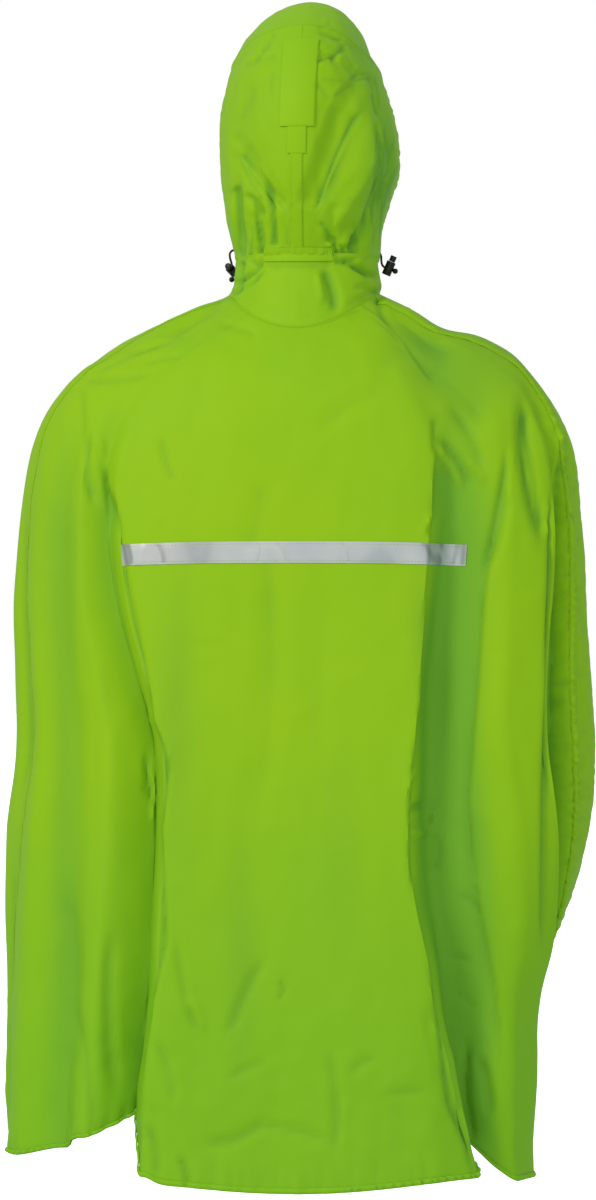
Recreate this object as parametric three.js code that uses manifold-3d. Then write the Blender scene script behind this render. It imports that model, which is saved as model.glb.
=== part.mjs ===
// Hooded rain poncho, standing open as worn, with the hood up. Hollow, seams 0.3 mm apart.
// Millimetres, +Z up. The front of the garment faces -Y, its back +Y, its left side +X.
// The origin is at the base of the neck, where the garment rests when worn.
import * as THREE from 'three';
import { mergeVertices } from 'three/addons/utils/BufferGeometryUtils.js';
import Module from 'manifold-3d';

const wasm = await Module();
wasm.setup();

// Driving sizes
const clothWall = 1.5;       // one coated cloth panel
const trimWall = 1.1;        // tape, bands and straps sewn on a panel
const tabWall = 2.4;         // the stiff tab on the hood
const stubWall = 1.6;        // the strap end below it
const seamGap = 0.3;         // between two pieces that meet
const sideBandHalf = 4.5;    // half the width of the sewn band on a side seam
const tapeTopZ = -277;       // reflective tape across the back, at its middle
const tapeBottomZ = -301;
const faceBandWidth = 15;    // drawcord channel round the face
const cordDiameter = 2.6;

// Heights on the centre back of the hood
const crownSeamZ = 304;      // cross seam where the peak piece begins
const tabTopZ = 287;
const tabBottomZ = 186;
const stubBottomZ = 156;
const bandTopZ = 54;         // top edge of the neck band, where the strap ends
const tabHalfWidth = 19.5;
const stubHalfWidth = 10.5;
const strapHalfWidth = 6.8;
const neckBandTurn = 30;     // half the neck band, in degrees round the neck
const neckBandDrop = 8;      // how far it reaches below the base of the hood

const rad = THREE.MathUtils.degToRad;
const lerp = THREE.MathUtils.lerp;

const limeCloth = { color: 0x8fc31f, roughness: 0.62, metalness: 0 };
const silverTape = { color: 0xb4b8be, roughness: 0.35, metalness: 0.3 };
const blackPlastic = { color: 0x141517, roughness: 0.45, metalness: 0 };
const blackCord = { color: 0x101012, roughness: 0.85, metalness: 0 };

// Rings of the body from the neckline seam (row 0) to the hem (row 13), before folds.
// Heights at centre back, side and centre front; half widths; depths; corner squareness.
const bodySections = [
  { zBack: -36, zSide: 6, zFront: -54, left: 84, right: 88, back: 90, front: 86, square: 2.0 },
  { zBack: -60, zSide: -20, zFront: -78, left: 142, right: 146, back: 104, front: 98, square: 2.0 },
  { zBack: -92, zSide: -50, zFront: -108, left: 210, right: 212, back: 118, front: 110, square: 2.05 },
  { zBack: -134, zSide: -98, zFront: -150, left: 273, right: 270, back: 130, front: 124, square: 2.1 },
  { zBack: -184, zSide: -162, zFront: -200, left: 308, right: 304, back: 138, front: 142, square: 2.15 },
  { zBack: -248, zSide: -256, zFront: -268, left: 324, right: 316, back: 144, front: 166, square: 2.2 },
  { zBack: -342, zSide: -348, zFront: -354, left: 330, right: 320, back: 150, front: 196, square: 2.25 },
  { zBack: -430, zSide: -430, zFront: -436, left: 326, right: 324, back: 156, front: 216, square: 2.3 },
  { zBack: -510, zSide: -510, zFront: -514, left: 324, right: 328, back: 162, front: 228, square: 2.3 },
  { zBack: -600, zSide: -600, zFront: -602, left: 334, right: 322, back: 168, front: 232, square: 2.3 },
  { zBack: -700, zSide: -700, zFront: -702, left: 339, right: 299, back: 175, front: 230, square: 2.3 },
  { zBack: -780, zSide: -780, zFront: -782, left: 340, right: 270, back: 181, front: 227, square: 2.3 },
  { zBack: -880, zSide: -876, zFront: -884, left: 342, right: 262, back: 188, front: 224, square: 2.3 },
  { zBack: -990, zSide: -968, zFront: -1000, left: 341, right: 258, back: 195, front: 220, square: 2.3 },
];
const hemLevel = bodySections.length - 1;
const hemBandLevel = hemLevel - 0.1;   // top edge of the elastic channel, about 11 mm up

// Fold lines from the centre back round by the left side and the front.
// turn: where the line runs, in degrees round the body, at the five fold levels.
// out: how far it stands out of the plain ring there, a ridge plus and a valley minus.
// hem: the height of its lower end. steps: columns of faces up to the next line.
const foldLevels = [1, 5, 8, 11, 13];
const foldLines = [
  { name: 'centreBack', turn: [0, 0, 0, 0, 0], out: [0, 0, 0, 0, 0], hem: -993, steps: 6 },
  { name: 'leftBackEdge', turn: [38, 35, 22.5, 22, 23.9], out: [0, 4, 9, 12, 16], hem: -984, steps: 4 },
  { name: 'leftBackValley', turn: [43, 40, 27, 26.5, 29.5],
    out: [0, -20, -36, -42, -47], hem: -912, steps: 4 },
  { name: 'leftFlapInner', turn: [50, 47, 37, 36.5, 39.5], out: [0, 2, 3, 5, 7], hem: -938, steps: 3 },
  { name: 'leftFlapTrough', turn: [58, 54, 49, 47, 49],
    out: [0, -6, -11, -14, -17], hem: -954, steps: 3 },
  { name: 'leftFlapOuter', turn: [66, 63, 60, 62, 64], out: [0, 2, 4, 6, 8], hem: -965, steps: 3 },
  { name: 'leftSeam', turn: [75, 73, 69, 78, 82], out: [0, -3, -5, -6, -6], hem: -966, steps: 4 },
  { name: 'leftSideBulge', turn: [95, 93, 90, 98, 101], out: [0, 2, 5, 4, 4], hem: -970, steps: 4 },
  { name: 'leftArmRidge', turn: [122, 121, 120, 121, 122],
    out: [0, 3, 13, 10, 10], hem: -960, steps: 4 },
  { name: 'leftFrontValley', turn: [147, 147, 146, 146, 147],
    out: [0, -9, -24, -30, -36], hem: -938, steps: 5 },
  { name: 'centreFront', turn: [181, 181, 182, 183, 184], out: [0, 2, 5, 9, 12], hem: -1000, steps: 5 },
  { name: 'rightFrontValley', turn: [215, 215, 214, 213, 213],
    out: [0, -10, -26, -30, -34], hem: -970, steps: 4 },
  { name: 'rightArmRidge', turn: [240, 240, 240, 236, 236],
    out: [0, 3, 14, 10, 9], hem: -984, steps: 4 },
  { name: 'rightSideBulge', turn: [267, 268, 271, 252, 249],
    out: [0, 2, 4, 2, 2], hem: -972, steps: 4 },
  { name: 'rightSeam', turn: [286, 283.5, 287.5, 267, 263],
    out: [0, -1, -3, -5, -6], hem: -964, steps: 3 },
  { name: 'rightRecess', turn: [291, 291, 298, 275, 271],
    out: [0, -17, -33, -30, -25], hem: -960, steps: 3 },
  { name: 'rightBackRidge', turn: [297, 297, 304.5, 283, 279.5],
    out: [0, 3, 7, 9, 9], hem: -991, steps: 4 },
  { name: 'rightFlapRidge', turn: [309, 311, 315, 297, 292],
    out: [0, 3, 4, 5, 7], hem: -990, steps: 4 },
  { name: 'rightBackValley', turn: [322, 327.5, 333, 318.5, 306],
    out: [0, -19, -35, -41, -42], hem: -946, steps: 4 },
  { name: 'rightBackEdge', turn: [328, 333, 338, 327, 312.5],
    out: [0, 3, 7, 10, 14], hem: -979, steps: 6 },
];
const lineCount = foldLines.length;
const foldStart = { level: 2.3, reach: 2.5 };  // the folds grow over these rows of the shoulder
// At the waist the right valley and its edge lie a little further round than their line
const waistShift = { names: ['rightBackValley', 'rightBackEdge'], turn: 3.9, level: 9.5, reach: 1.2 };
const lineNumber = (name) => foldLines.findIndex((line) => line.name === name);

// Rings of the hood from the neck (row 0) up over the crown to the brow (row 12).
// The centre back point, the widest side point, half width, how far round the ring
// sweeps in degrees, and how far its front part reaches.
const hoodSections = [
  { backY: 76, backZ: 46, sideY: -4, sideZ: 44, half: 80, sweep: 164, reach: 1.0 },
  { backY: 87, backZ: 72, sideY: -6, sideZ: 70, half: 85, sweep: 143, reach: 1.15 },
  { backY: 100, backZ: 105, sideY: -8, sideZ: 103, half: 90, sweep: 126, reach: 1.5 },
  { backY: 110, backZ: 145, sideY: -10, sideZ: 145, half: 95, sweep: 117, reach: 1.8 },
  { backY: 114, backZ: 190, sideY: -14, sideZ: 186, half: 97, sweep: 112, reach: 2.1 },
  { backY: 109, backZ: 232, sideY: -22, sideZ: 217, half: 96, sweep: 109, reach: 2.3 },
  { backY: 94, backZ: 270, sideY: -34, sideZ: 238, half: 93, sweep: 108, reach: 2.3 },
  { backY: 70, backZ: 301, sideY: -48, sideZ: 252, half: 89, sweep: 107, reach: 2.3 },
  { backY: 38, backZ: 323, sideY: -64, sideZ: 262, half: 84, sweep: 106, reach: 2.3 },
  { backY: 0, backZ: 336, sideY: -80, sideZ: 268, half: 79, sweep: 106, reach: 2.1 },
  { backY: -42, backZ: 339, sideY: -96, sideZ: 271, half: 73, sweep: 105, reach: 1.9 },
  { backY: -86, backZ: 330, sideY: -111, sideZ: 271, half: 67, sweep: 104, reach: 1.7 },
  { backY: -128, backZ: 310, sideY: -125, sideZ: 268, half: 61, sweep: 103, reach: 1.5 },
];
const browRow = hoodSections.length - 1;
const hoodRoundness = 1.08;  // above 1 narrows the hood towards its centre seam
const hoodLean = -7;         // the crown leans a little to the right
const collarCurve = 0.8;     // below 1 draws the collar in soon above the neckline seam

// Large creases of the hood: a soft trough between two points of the back view.
const hoodCreases = [
  { x1: -62, z1: 232, x2: -16, z2: 108, wide: 17, deep: 6 },
  { x1: 66, z1: 176, x2: 16, z2: 104, wide: 12, deep: 5 },
  { x1: -92, z1: 120, x2: -60, z2: 68, wide: 12, deep: 6 },
  { x1: 70, z1: 118, x2: 66, z2: 64, wide: 9, deep: 5 },
  { x1: 42, z1: 104, x2: 40, z2: 64, wide: 9, deep: 4 },
  { x1: -42, z1: 96, x2: -37, z2: 64, wide: 9, deep: 4 },
  { x1: -30, z1: 268, x2: -80, z2: 246, wide: 10, deep: 4 },
];

// A smooth curve through one column of a table at a row number with a fraction
function columnAt(rows, column, at) {
  const last = rows.length - 1;
  const row = Math.min(Math.max(Math.floor(at), 0), last - 1);
  const part = at - row;
  const value = (i) => rows[Math.min(Math.max(i, 0), last)][column];
  const slopeStart = (value(row + 1) - value(row - 1)) / 2;
  const slopeEnd = (value(row + 2) - value(row)) / 2;
  return hermite(value(row), value(row + 1), slopeStart, slopeEnd, part);
}

function hermite(start, end, slopeStart, slopeEnd, part) {
  const square = part * part;
  const cube = square * part;
  return start * (2 * cube - 3 * square + 1) + end * (3 * square - 2 * cube)
    + slopeStart * (cube - 2 * square + part) + slopeEnd * (cube - square);
}

// A value of a fold line at any level, from its values at the five fold levels
function foldValue(values, level) {
  const last = foldLevels.length - 1;
  if (level <= foldLevels[0]) return values[0];
  let i = 0;
  while (i < last - 1 && level > foldLevels[i + 1]) i += 1;
  const span = foldLevels[i + 1] - foldLevels[i];
  const slope = (k) => {
    const before = Math.max(k - 1, 0);
    const after = Math.min(k + 1, last);
    return (values[after] - values[before]) / (foldLevels[after] - foldLevels[before]);
  };
  const part = (level - foldLevels[i]) / span;
  return hermite(values[i], values[i + 1], slope(i) * span, slope(i + 1) * span, part);
}

const softStep = (part) => part * part * (3 - 2 * part);
const signedPower = (value, power) => Math.sign(value) * Math.abs(value) ** power;

// How far round the body a fold line runs at a level, in degrees
function foldTurn(line, level) {
  const away = (level - waistShift.level) / waistShift.reach;
  const shift = waistShift.names.includes(line.name) ? waistShift.turn * Math.exp(-(away ** 2)) : 0;
  return foldValue(line.turn, level) + shift;
}

// A point of the body: around counts fold lines from the centre back, level counts rows
function bodyPoint(around, level) {
  const wrapped = ((around % lineCount) + lineCount) % lineCount;
  const first = Math.floor(wrapped);
  const part = wrapped - first;
  const from = foldLines[first];
  const to = foldLines[(first + 1) % lineCount];
  const turnFrom = foldTurn(from, level);
  let turnTo = foldTurn(to, level);
  if (turnTo < turnFrom) turnTo += 360;
  const turn = rad(lerp(turnFrom, turnTo, part));
  const grown = softStep(Math.min(Math.max((level - foldStart.level) / foldStart.reach, 0), 1));
  const out = grown * lerp(foldValue(from.out, level), foldValue(to.out, level), softStep(part));
  const ring = (column) => columnAt(bodySections, column, level);
  const power = 2 / ring('square');
  const half = Math.sin(turn) >= 0 ? ring('left') : ring('right');
  const depth = Math.cos(turn) >= 0 ? ring('back') : ring('front');
  const zEnd = Math.cos(turn) >= 0 ? ring('zBack') : ring('zFront');
  const x = half * signedPower(Math.sin(turn), power);
  const y = depth * signedPower(Math.cos(turn), power);
  let z = lerp(ring('zSide'), zEnd, Math.cos(turn) ** 2);
  const lower = Math.max(0, (level - 8) / (hemLevel - 8));
  const hem = lerp(from.hem, to.hem, softStep(part));
  const plainHem = bodySections[hemLevel];
  const plainHemEnd = Math.cos(turn) >= 0 ? plainHem.zBack : plainHem.zFront;
  z += (hem - lerp(plainHem.zSide, plainHemEnd, Math.cos(turn) ** 2)) * lower ** 1.4;
  const outX = signedPower(x / half, ring('square') - 1) / half;
  const outY = signedPower(y / depth, ring('square') - 1) / depth;
  const length = Math.hypot(outX, outY);
  return new THREE.Vector3(x + out * outX / length, y + out * outY / length, z);
}

// How deep the hood's creases are at a point of its back
function creaseDepth(creases, x, z) {
  let depth = 0;
  for (const crease of creases) {
    const runX = crease.x2 - crease.x1;
    const runZ = crease.z2 - crease.z1;
    const along = ((x - crease.x1) * runX + (z - crease.z1) * runZ) / (runX ** 2 + runZ ** 2);
    const near = Math.min(Math.max(along, 0), 1);
    const away = Math.hypot(x - crease.x1 - near * runX, z - crease.z1 - near * runZ);
    if (away < crease.wide) depth += crease.deep * (1 + Math.cos(Math.PI * away / crease.wide)) / 2;
  }
  return depth;
}

// A point of the hood: across runs from the centre seam (0) to the face edge (1 or -1)
function hoodPoint(across, row) {
  const ring = (column) => columnAt(hoodSections, column, row);
  const swing = rad(ring('sweep')) * Math.abs(across);
  const forward = Math.cos(swing) >= 0 ? 1 : ring('reach');
  const lean = hoodLean * Math.max(0, (ring('backZ') - 60) / 280);
  const bulge = Math.abs(Math.sin(swing)) ** hoodRoundness;
  const x = Math.sign(across) * ring('half') * bulge + lean * Math.max(0, 1 - bulge * 0.6);
  const backward = Math.cos(swing) * forward;
  let y = lerp(ring('sideY'), ring('backY'), backward);
  const z = lerp(ring('sideZ'), ring('backZ'), backward);
  const facing = Math.max(0, Math.cos(swing)) ** 0.5;
  y -= creaseDepth(hoodCreases, x, z) * facing;
  return new THREE.Vector3(x, y, z);
}

// A point of the collar: turn in degrees as on the body, up from the neckline seam (0) to the
// base of the hood (1)
function collarPoint(turn, up) {
  const [sine, cosine] = [Math.sin(rad(turn)), Math.cos(rad(turn))];
  const neckline = bodySections[0];
  const base = hoodSections[0];
  const low = new THREE.Vector3(
    sine * (sine >= 0 ? neckline.left : neckline.right),
    cosine * (cosine >= 0 ? neckline.back : neckline.front),
    lerp(neckline.zSide, cosine >= 0 ? neckline.zBack : neckline.zFront, cosine ** 2),
  );
  const high = new THREE.Vector3(
    base.half * signedPower(sine, hoodRoundness),
    lerp(base.sideY, base.backY, cosine),
    lerp(base.sideZ, base.backZ, cosine),
  );
  const point = low.clone().lerp(high, signedPower(up, collarCurve));
  point.z = lerp(low.z, high.z, up);
  return point;
}

const surfaceStep = 0.004;     // step along a surface's coordinates that its slope is taken over
const weldDistance = 1e-4;

// Face normal of a surface at (u, v), pointing away from the hollow
function outwardNormal(surface, u, v, side) {
  const small = surfaceStep;
  const alongU = surface(u + small, v).sub(surface(u - small, v));
  const alongV = surface(u, v + small).sub(surface(u, v - small));
  return alongU.cross(alongV).normalize().multiplyScalar(side);
}

// A closed wall over a grid of surface points. uValues run round it, vValues along it.
// inner and outer are how far its two faces stand out from the surface; trim takes a little off
// the four edges; side is 1 or -1, whichever turns the normal outwards; ring closes it round.
function wall(surface, uValues, vValues, { inner, outer, side, trim = {}, ring = false }) {
  const faces = [];
  const columns = uValues.length;
  const rows = vValues.length;
  const small = surfaceStep;
  const nodes = vValues.map((v, row) => uValues.map((u, column) => {
    const point = surface(u, v);
    const normal = outwardNormal(surface, u, v, side);
    const alongU = surface(u + small, v).sub(surface(u - small, v)).normalize();
    const alongV = surface(u, v + small).sub(surface(u, v - small)).normalize();
    if (!ring && column === 0) point.addScaledVector(alongU, trim.uStart ?? 0);
    if (!ring && column === columns - 1) point.addScaledVector(alongU, -(trim.uEnd ?? 0));
    if (row === 0) point.addScaledVector(alongV, trim.vStart ?? 0);
    if (row === rows - 1) point.addScaledVector(alongV, -(trim.vEnd ?? 0));
    return {
      outer: point.clone().addScaledVector(normal, outer),
      inner: point.clone().addScaledVector(normal, inner),
    };
  }));
  const quad = (a, b, c, d) => {
    if (side > 0) faces.push(a, b, c, a, c, d);
    else faces.push(a, c, b, a, d, c);
  };
  const spans = ring ? columns : columns - 1;
  for (let row = 0; row < rows - 1; row += 1) {
    for (let column = 0; column < spans; column += 1) {
      const next = (column + 1) % columns;
      const a = nodes[row][column];
      const b = nodes[row][next];
      const c = nodes[row + 1][next];
      const d = nodes[row + 1][column];
      quad(a.outer, b.outer, c.outer, d.outer);
      quad(a.inner, d.inner, c.inner, b.inner);
    }
  }
  for (let column = 0; column < spans; column += 1) {
    const next = (column + 1) % columns;
    const [a, b] = [nodes[0][column], nodes[0][next]];
    const [d, c] = [nodes[rows - 1][column], nodes[rows - 1][next]];
    quad(a.inner, b.inner, b.outer, a.outer);
    quad(d.outer, c.outer, c.inner, d.inner);
  }
  if (!ring) {
    for (let row = 0; row < rows - 1; row += 1) {
      const [a, d] = [nodes[row][0], nodes[row + 1][0]];
      const [b, c] = [nodes[row][columns - 1], nodes[row + 1][columns - 1]];
      quad(a.inner, a.outer, d.outer, d.inner);
      quad(b.outer, b.inner, c.inner, c.outer);
    }
  }
  const geometry = new THREE.BufferGeometry().setFromPoints(faces);
  return mergeVertices(geometry, weldDistance);
}

const evenly = (start, end, count) => (
  Array.from({ length: count + 1 }, (_, i) => lerp(start, end, i / count))
);

// The fold line position that lies so many millimetres beside another, at one level
function aroundBeside(around, distance, level) {
  const small = 0.01 * Math.sign(distance);
  const span = bodyPoint(around + small, level).distanceTo(bodyPoint(around, level));
  return around + (distance * Math.abs(small)) / span;
}

// A column of the panels' faces is a fold line number with a fraction, or the edge of the sewn
// band, so far beside a seam line
const aroundOf = (column, level) => (
  typeof column === 'number' ? column : aroundBeside(column.line, column.beside, level)
);

// The columns of a panel from one seam to the next
function panelColumns(fromName, toName) {
  const start = lineNumber(fromName);
  let end = lineNumber(toName);
  if (end <= start) end += lineCount;
  const columns = [start, { line: start, beside: sideBandHalf }];
  for (let line = start; line < end; line += 1) {
    const { steps } = foldLines[line % lineCount];
    for (let i = line === start ? 1 : 0; i < steps; i += 1) columns.push(line + i / steps);
  }
  columns.push({ line: end, beside: -sideBandHalf }, end);
  return columns;
}

// A surface over the body whose first coordinate counts columns
function columnSurface(columns) {
  return (at, level) => {
    const i = Math.min(Math.max(Math.floor(at), 0), columns.length - 2);
    const around = lerp(aroundOf(columns[i], level), aroundOf(columns[i + 1], level), at - i);
    return bodyPoint(around, level);
  };
}
const counted = (columns) => columns.map((_, i) => i);

const group = new THREE.Group();

function addPiece(name, geometry, look) {
  geometry.computeVertexNormals();
  const mesh = new THREE.Mesh(geometry, new THREE.MeshStandardMaterial(look));
  mesh.name = name;
  group.add(mesh);
  return mesh;
}

// The root of a function that changes sign once between low and high
function solve(low, high, difference) {
  const rising = difference(high) > difference(low);
  let [from, to] = [low, high];
  for (let i = 0; i < 40; i += 1) {
    const middle = (from + to) / 2;
    if (difference(middle) > 0 === rising) to = middle;
    else from = middle;
  }
  return (from + to) / 2;
}

const halfGap = seamGap / 2;
const levelOfBack = (z) => solve(0, hemLevel, (level) => columnAt(bodySections, 'zBack', level) - z);
const tapeLevels = [levelOfBack(tapeTopZ), levelOfBack(tapeBottomZ)];
const bodyLevels = [0, 0.5, 1, 1.5, 2, 2.5, 3, 3.5, 4, 4.5, ...tapeLevels, 6.4, 7.2, 8, 8.8,
  9.6, 10.4, 11.2, 12, hemBandLevel, hemLevel];

// Back and front panels, joined at the shoulders and down the sides
const backColumns = panelColumns('rightSeam', 'leftSeam');
const frontColumns = panelColumns('leftSeam', 'rightSeam');
const panelTrim = { uStart: halfGap, uEnd: halfGap, vStart: halfGap };
const panelShape = { inner: -clothWall, outer: 0, side: 1, trim: panelTrim };

function panel(name, columns) {
  addPiece(name, wall(columnSurface(columns), counted(columns), bodyLevels, panelShape), limeCloth);
}
panel('back_panel', backColumns);
panel('front_panel', frontColumns);

const trimShape = { inner: seamGap, outer: seamGap + trimWall, side: 1 };

// Elastic hem channels: strips on the lowest part of each panel, clear of the side bands
function hemBand(name, columns) {
  const inside = columns.slice(2, -2);
  const ends = [columns[0], columns[columns.length - 1]];
  const clear = sideBandHalf + 1;
  const strip = [{ line: ends[0], beside: clear }, ...inside, { line: ends[1], beside: -clear }];
  const levels = [hemBandLevel, hemLevel];
  addPiece(name, wall(columnSurface(strip), counted(strip), levels, trimShape), limeCloth);
}
hemBand('hem_band_back', backColumns);
hemBand('hem_band_front', frontColumns);

// Sewn bands over the shoulder and side seams, from the collar to the hem
function sideBand(name, line) {
  const strip = [{ line, beside: -sideBandHalf }, line, { line, beside: sideBandHalf }];
  const levels = [0.25, ...bodyLevels.slice(1)];
  addPiece(name, wall(columnSurface(strip), counted(strip), levels, trimShape), limeCloth);
}
sideBand('side_band_left', lineNumber('leftSeam'));
sideBand('side_band_right', lineNumber('rightSeam'));

// Reflective tape across the back panel, from the left fold's edge past the right fold's valley
const tapeStart = lineNumber('rightBackValley') - 0.25;
const tapeEnd = lineCount + lineNumber('leftBackEdge');
const tapeColumns = backColumns.filter((column) => column >= tapeStart && column <= tapeEnd);
const tapeWall = wall(columnSurface(tapeColumns), counted(tapeColumns), tapeLevels, trimShape);
addPiece('reflective_tape', tapeWall, silverTape);

// Collar between the neckline seam and the base of the hood
const collarHeight = hoodSections[0].backZ - bodySections[0].zBack;
const bandFootUp = 1 - neckBandDrop / collarHeight;
const collarTurns = evenly(0, 360, 48).slice(0, -1);
const collarRises = [...evenly(0, bandFootUp, 4), 1];
const collarTrim = { vStart: halfGap, vEnd: halfGap };
const collarShape = { inner: -clothWall, outer: 0, side: -1, ring: true, trim: collarTrim };
addPiece('collar', wall(collarPoint, collarTurns, collarRises, collarShape), limeCloth);

// Columns of the hood's faces from its centre seam to the face edge: a share of the way round,
// a distance x from the centre seam, or an inset from the face edge; mirror turns one over
const halfHood = [0, { x: strapHalfWidth }, { x: stubHalfWidth }, { x: tabHalfWidth },
  ...evenly(0.2, 0.9, 8), { inset: faceBandWidth }, 1];
const mirrored = halfHood.slice(1).reverse().map((column) => ({ mirror: column }));

function acrossOf(column, row) {
  if (typeof column === 'number') return column;
  if (column.mirror) return -acrossOf(column.mirror, row);
  if (column.x) {
    const swing = Math.asin((column.x / columnAt(hoodSections, 'half', row)) ** (1 / hoodRoundness));
    return swing / rad(columnAt(hoodSections, 'sweep', row));
  }
  const nearEdge = hoodPoint(0.98, row).distanceTo(hoodPoint(1, row));
  return 1 - (0.02 * column.inset) / nearEdge;
}

function hoodSurface(columns) {
  return (at, row) => {
    const i = Math.min(Math.max(Math.floor(at), 0), columns.length - 2);
    return hoodPoint(lerp(acrossOf(columns[i], row), acrossOf(columns[i + 1], row), at - i), row);
  };
}

// Rows of the hood's faces, with one at each height where a piece sewn on it ends
const hoodRowAt = (z) => solve(0, 9, (row) => columnAt(hoodSections, 'backZ', row) - z);
const rowsBetween = (lowZ, highZ, count) => evenly(lowZ, highZ, count).slice(1).map(hoodRowAt);
const hoodRows = [0, hoodRowAt(bandTopZ), ...rowsBetween(bandTopZ, stubBottomZ, 5),
  ...rowsBetween(stubBottomZ, tabBottomZ, 2), ...rowsBetween(tabBottomZ, tabTopZ, 5),
  hoodRowAt(crownSeamZ)];
const crownRow = hoodRowAt(crownSeamZ);
const browBandRow = browRow - 0.35;
const peakRows = [...evenly(crownRow, browBandRow, 6), browRow];

// Hood: two halves with a centre seam, and the peak piece in front of the crown seam
const endTrim = { vStart: halfGap, vEnd: halfGap };
const hoodShape = { inner: -clothWall, outer: 0, side: -1, trim: { ...endTrim, uStart: halfGap } };
const rightShape = { ...hoodShape, trim: { ...endTrim, uEnd: halfGap } };
const rightHood = [...mirrored, 0];
const wholeHood = [...mirrored, ...halfHood];
addPiece('hood_left', wall(hoodSurface(halfHood), counted(halfHood), hoodRows, hoodShape), limeCloth);
addPiece('hood_right', wall(hoodSurface(rightHood), counted(rightHood), hoodRows, rightShape), limeCloth);
const peakShape = { ...hoodShape, trim: { vStart: halfGap } };
addPiece('hood_peak', wall(hoodSurface(wholeHood), counted(wholeHood), peakRows, peakShape), limeCloth);

// Strips on the centre back of the hood, each between two heights
function hoodStrip(name, bottomZ, topZ, halfWidth, thickness) {
  const strip = wholeHood.filter((column) => {
    const half = column.mirror ?? column;
    return half === 0 || half.x <= halfWidth;
  });
  const bottom = hoodRowAt(bottomZ);
  const top = hoodRowAt(topZ);
  const rows = hoodRows.filter((row) => row >= bottom && row <= top);
  const shape = { inner: seamGap, outer: seamGap + thickness, side: -1, trim: endTrim };
  addPiece(name, wall(hoodSurface(strip), counted(strip), rows, shape), limeCloth);
}
hoodStrip('hood_tab', tabBottomZ, tabTopZ, tabHalfWidth, tabWall);
hoodStrip('strap_stub', stubBottomZ, tabBottomZ, stubHalfWidth, stubWall);
hoodStrip('hood_strap', bandTopZ, stubBottomZ, strapHalfWidth, trimWall);

// Neck band over the join of hood and collar
function neckBand() {
  const rise = bandTopZ - hoodSections[0].backZ;
  const surface = (turn, up) => {
    if (up > 0) return hoodPoint(turn / hoodSections[0].sweep, hoodRowAt(bandTopZ) * up / rise);
    return collarPoint(turn, 1 + up / collarHeight);
  };
  const clear = seamGap + 0.2;
  const shape = { inner: clear, outer: clear + trimWall, side: -1, trim: { vEnd: halfGap } };
  const turns = evenly(-neckBandTurn, neckBandTurn, 8);
  addPiece('neck_band', wall(surface, turns, [-neckBandDrop, 0, rise], shape), limeCloth);
}
neckBand();

// Drawcord channel round the face: one strip up each side and one over the brow
const bandShape = { inner: seamGap, outer: seamGap + trimWall, side: -1, trim: endTrim };
const sideBandRows = [...hoodRows, ...peakRows.slice(1, -1)];
const leftEdge = halfHood.slice(-2);
const rightEdge = mirrored.slice(0, 2);
const browRows = [browBandRow, browRow];

function faceBand(name, columns, rows) {
  addPiece(name, wall(hoodSurface(columns), counted(columns), rows, bandShape), limeCloth);
}
faceBand('face_band_left', leftEdge, sideBandRows);
faceBand('face_band_right', rightEdge, sideBandRows);
faceBand('brow_band', wholeHood, browRows);

// Drawcords and their locks at the sides of the neck
const drawcords = [
  {
    name: 'left',
    route: [[79.8, -32, 60], [84.6, -32.3, 59.2], [87.2, -33, 55.6], [86.9, -33.7, 50.5],
      [85.3, -34.1, 44.5], [84.9, -34.2, 36.6], [84.9, -34.1, 29.8]],
    barrelFoot: [82.4, -42.5, 33.9],
    barrelTip: [86.6, -26.4, 39],
    bead: [85, -34, 26.2],
  },
  {
    name: 'right',
    route: [[-77.9, -32, 57], [-84.4, -32, 56], [-86.9, -31.8, 52], [-87.4, -31.4, 46],
      [-88.4, -31, 41.6], [-91.4, -30.4, 38.6], [-95.5, -30, 36.7], [-99.8, -30, 35.2]],
    barrelFoot: [-92.6, -30, 30],
    barrelTip: [-99.3, -30, 45.2],
    bead: [-103.3, -30, 34.4],
  },
];
const barrelRadius = 5.2;
const plungerRadius = 3.6;
const plungerLength = 6.5;
const beadRadius = 3.2;
const cordHole = cordDiameter + 1.2;

const vector = (point) => new THREE.Vector3(...point);

// A round turned piece between two points, with softened ends
function turnedPiece(foot, tip, radius, sides) {
  const length = foot.distanceTo(tip);
  const round = radius * 0.3;
  const halfProfile = [[0, 0], [radius - round, 0], [radius - round * 0.3, round * 0.3], [radius, round]];
  const profile = [...halfProfile, ...halfProfile.map(([x, y]) => [x, length - y]).reverse()];
  const geometry = new THREE.LatheGeometry(profile.map(([x, y]) => new THREE.Vector2(x, y)), sides);
  const axis = tip.clone().sub(foot).normalize();
  const turn = new THREE.Quaternion().setFromUnitVectors(new THREE.Vector3(0, 1, 0), axis);
  geometry.applyQuaternion(turn).translate(foot.x, foot.y, foot.z);
  return closedGeometry(geometry);
}

function closedGeometry(geometry) {
  geometry.deleteAttribute('normal');
  geometry.deleteAttribute('uv');
  return mergeVertices(geometry, weldDistance);
}

function cutAway(body, tool) {
  const solid = (geometry) => new wasm.Manifold(new wasm.Mesh({
    numProp: 3,
    vertProperties: geometry.attributes.position.array,
    triVerts: Uint32Array.from(geometry.index.array),
  }));
  const result = solid(body).subtract(solid(tool)).getMesh();
  const geometry = new THREE.BufferGeometry();
  geometry.setAttribute('position', new THREE.BufferAttribute(result.vertProperties, 3));
  geometry.setIndex(new THREE.BufferAttribute(result.triVerts, 1));
  return geometry;
}

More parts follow.
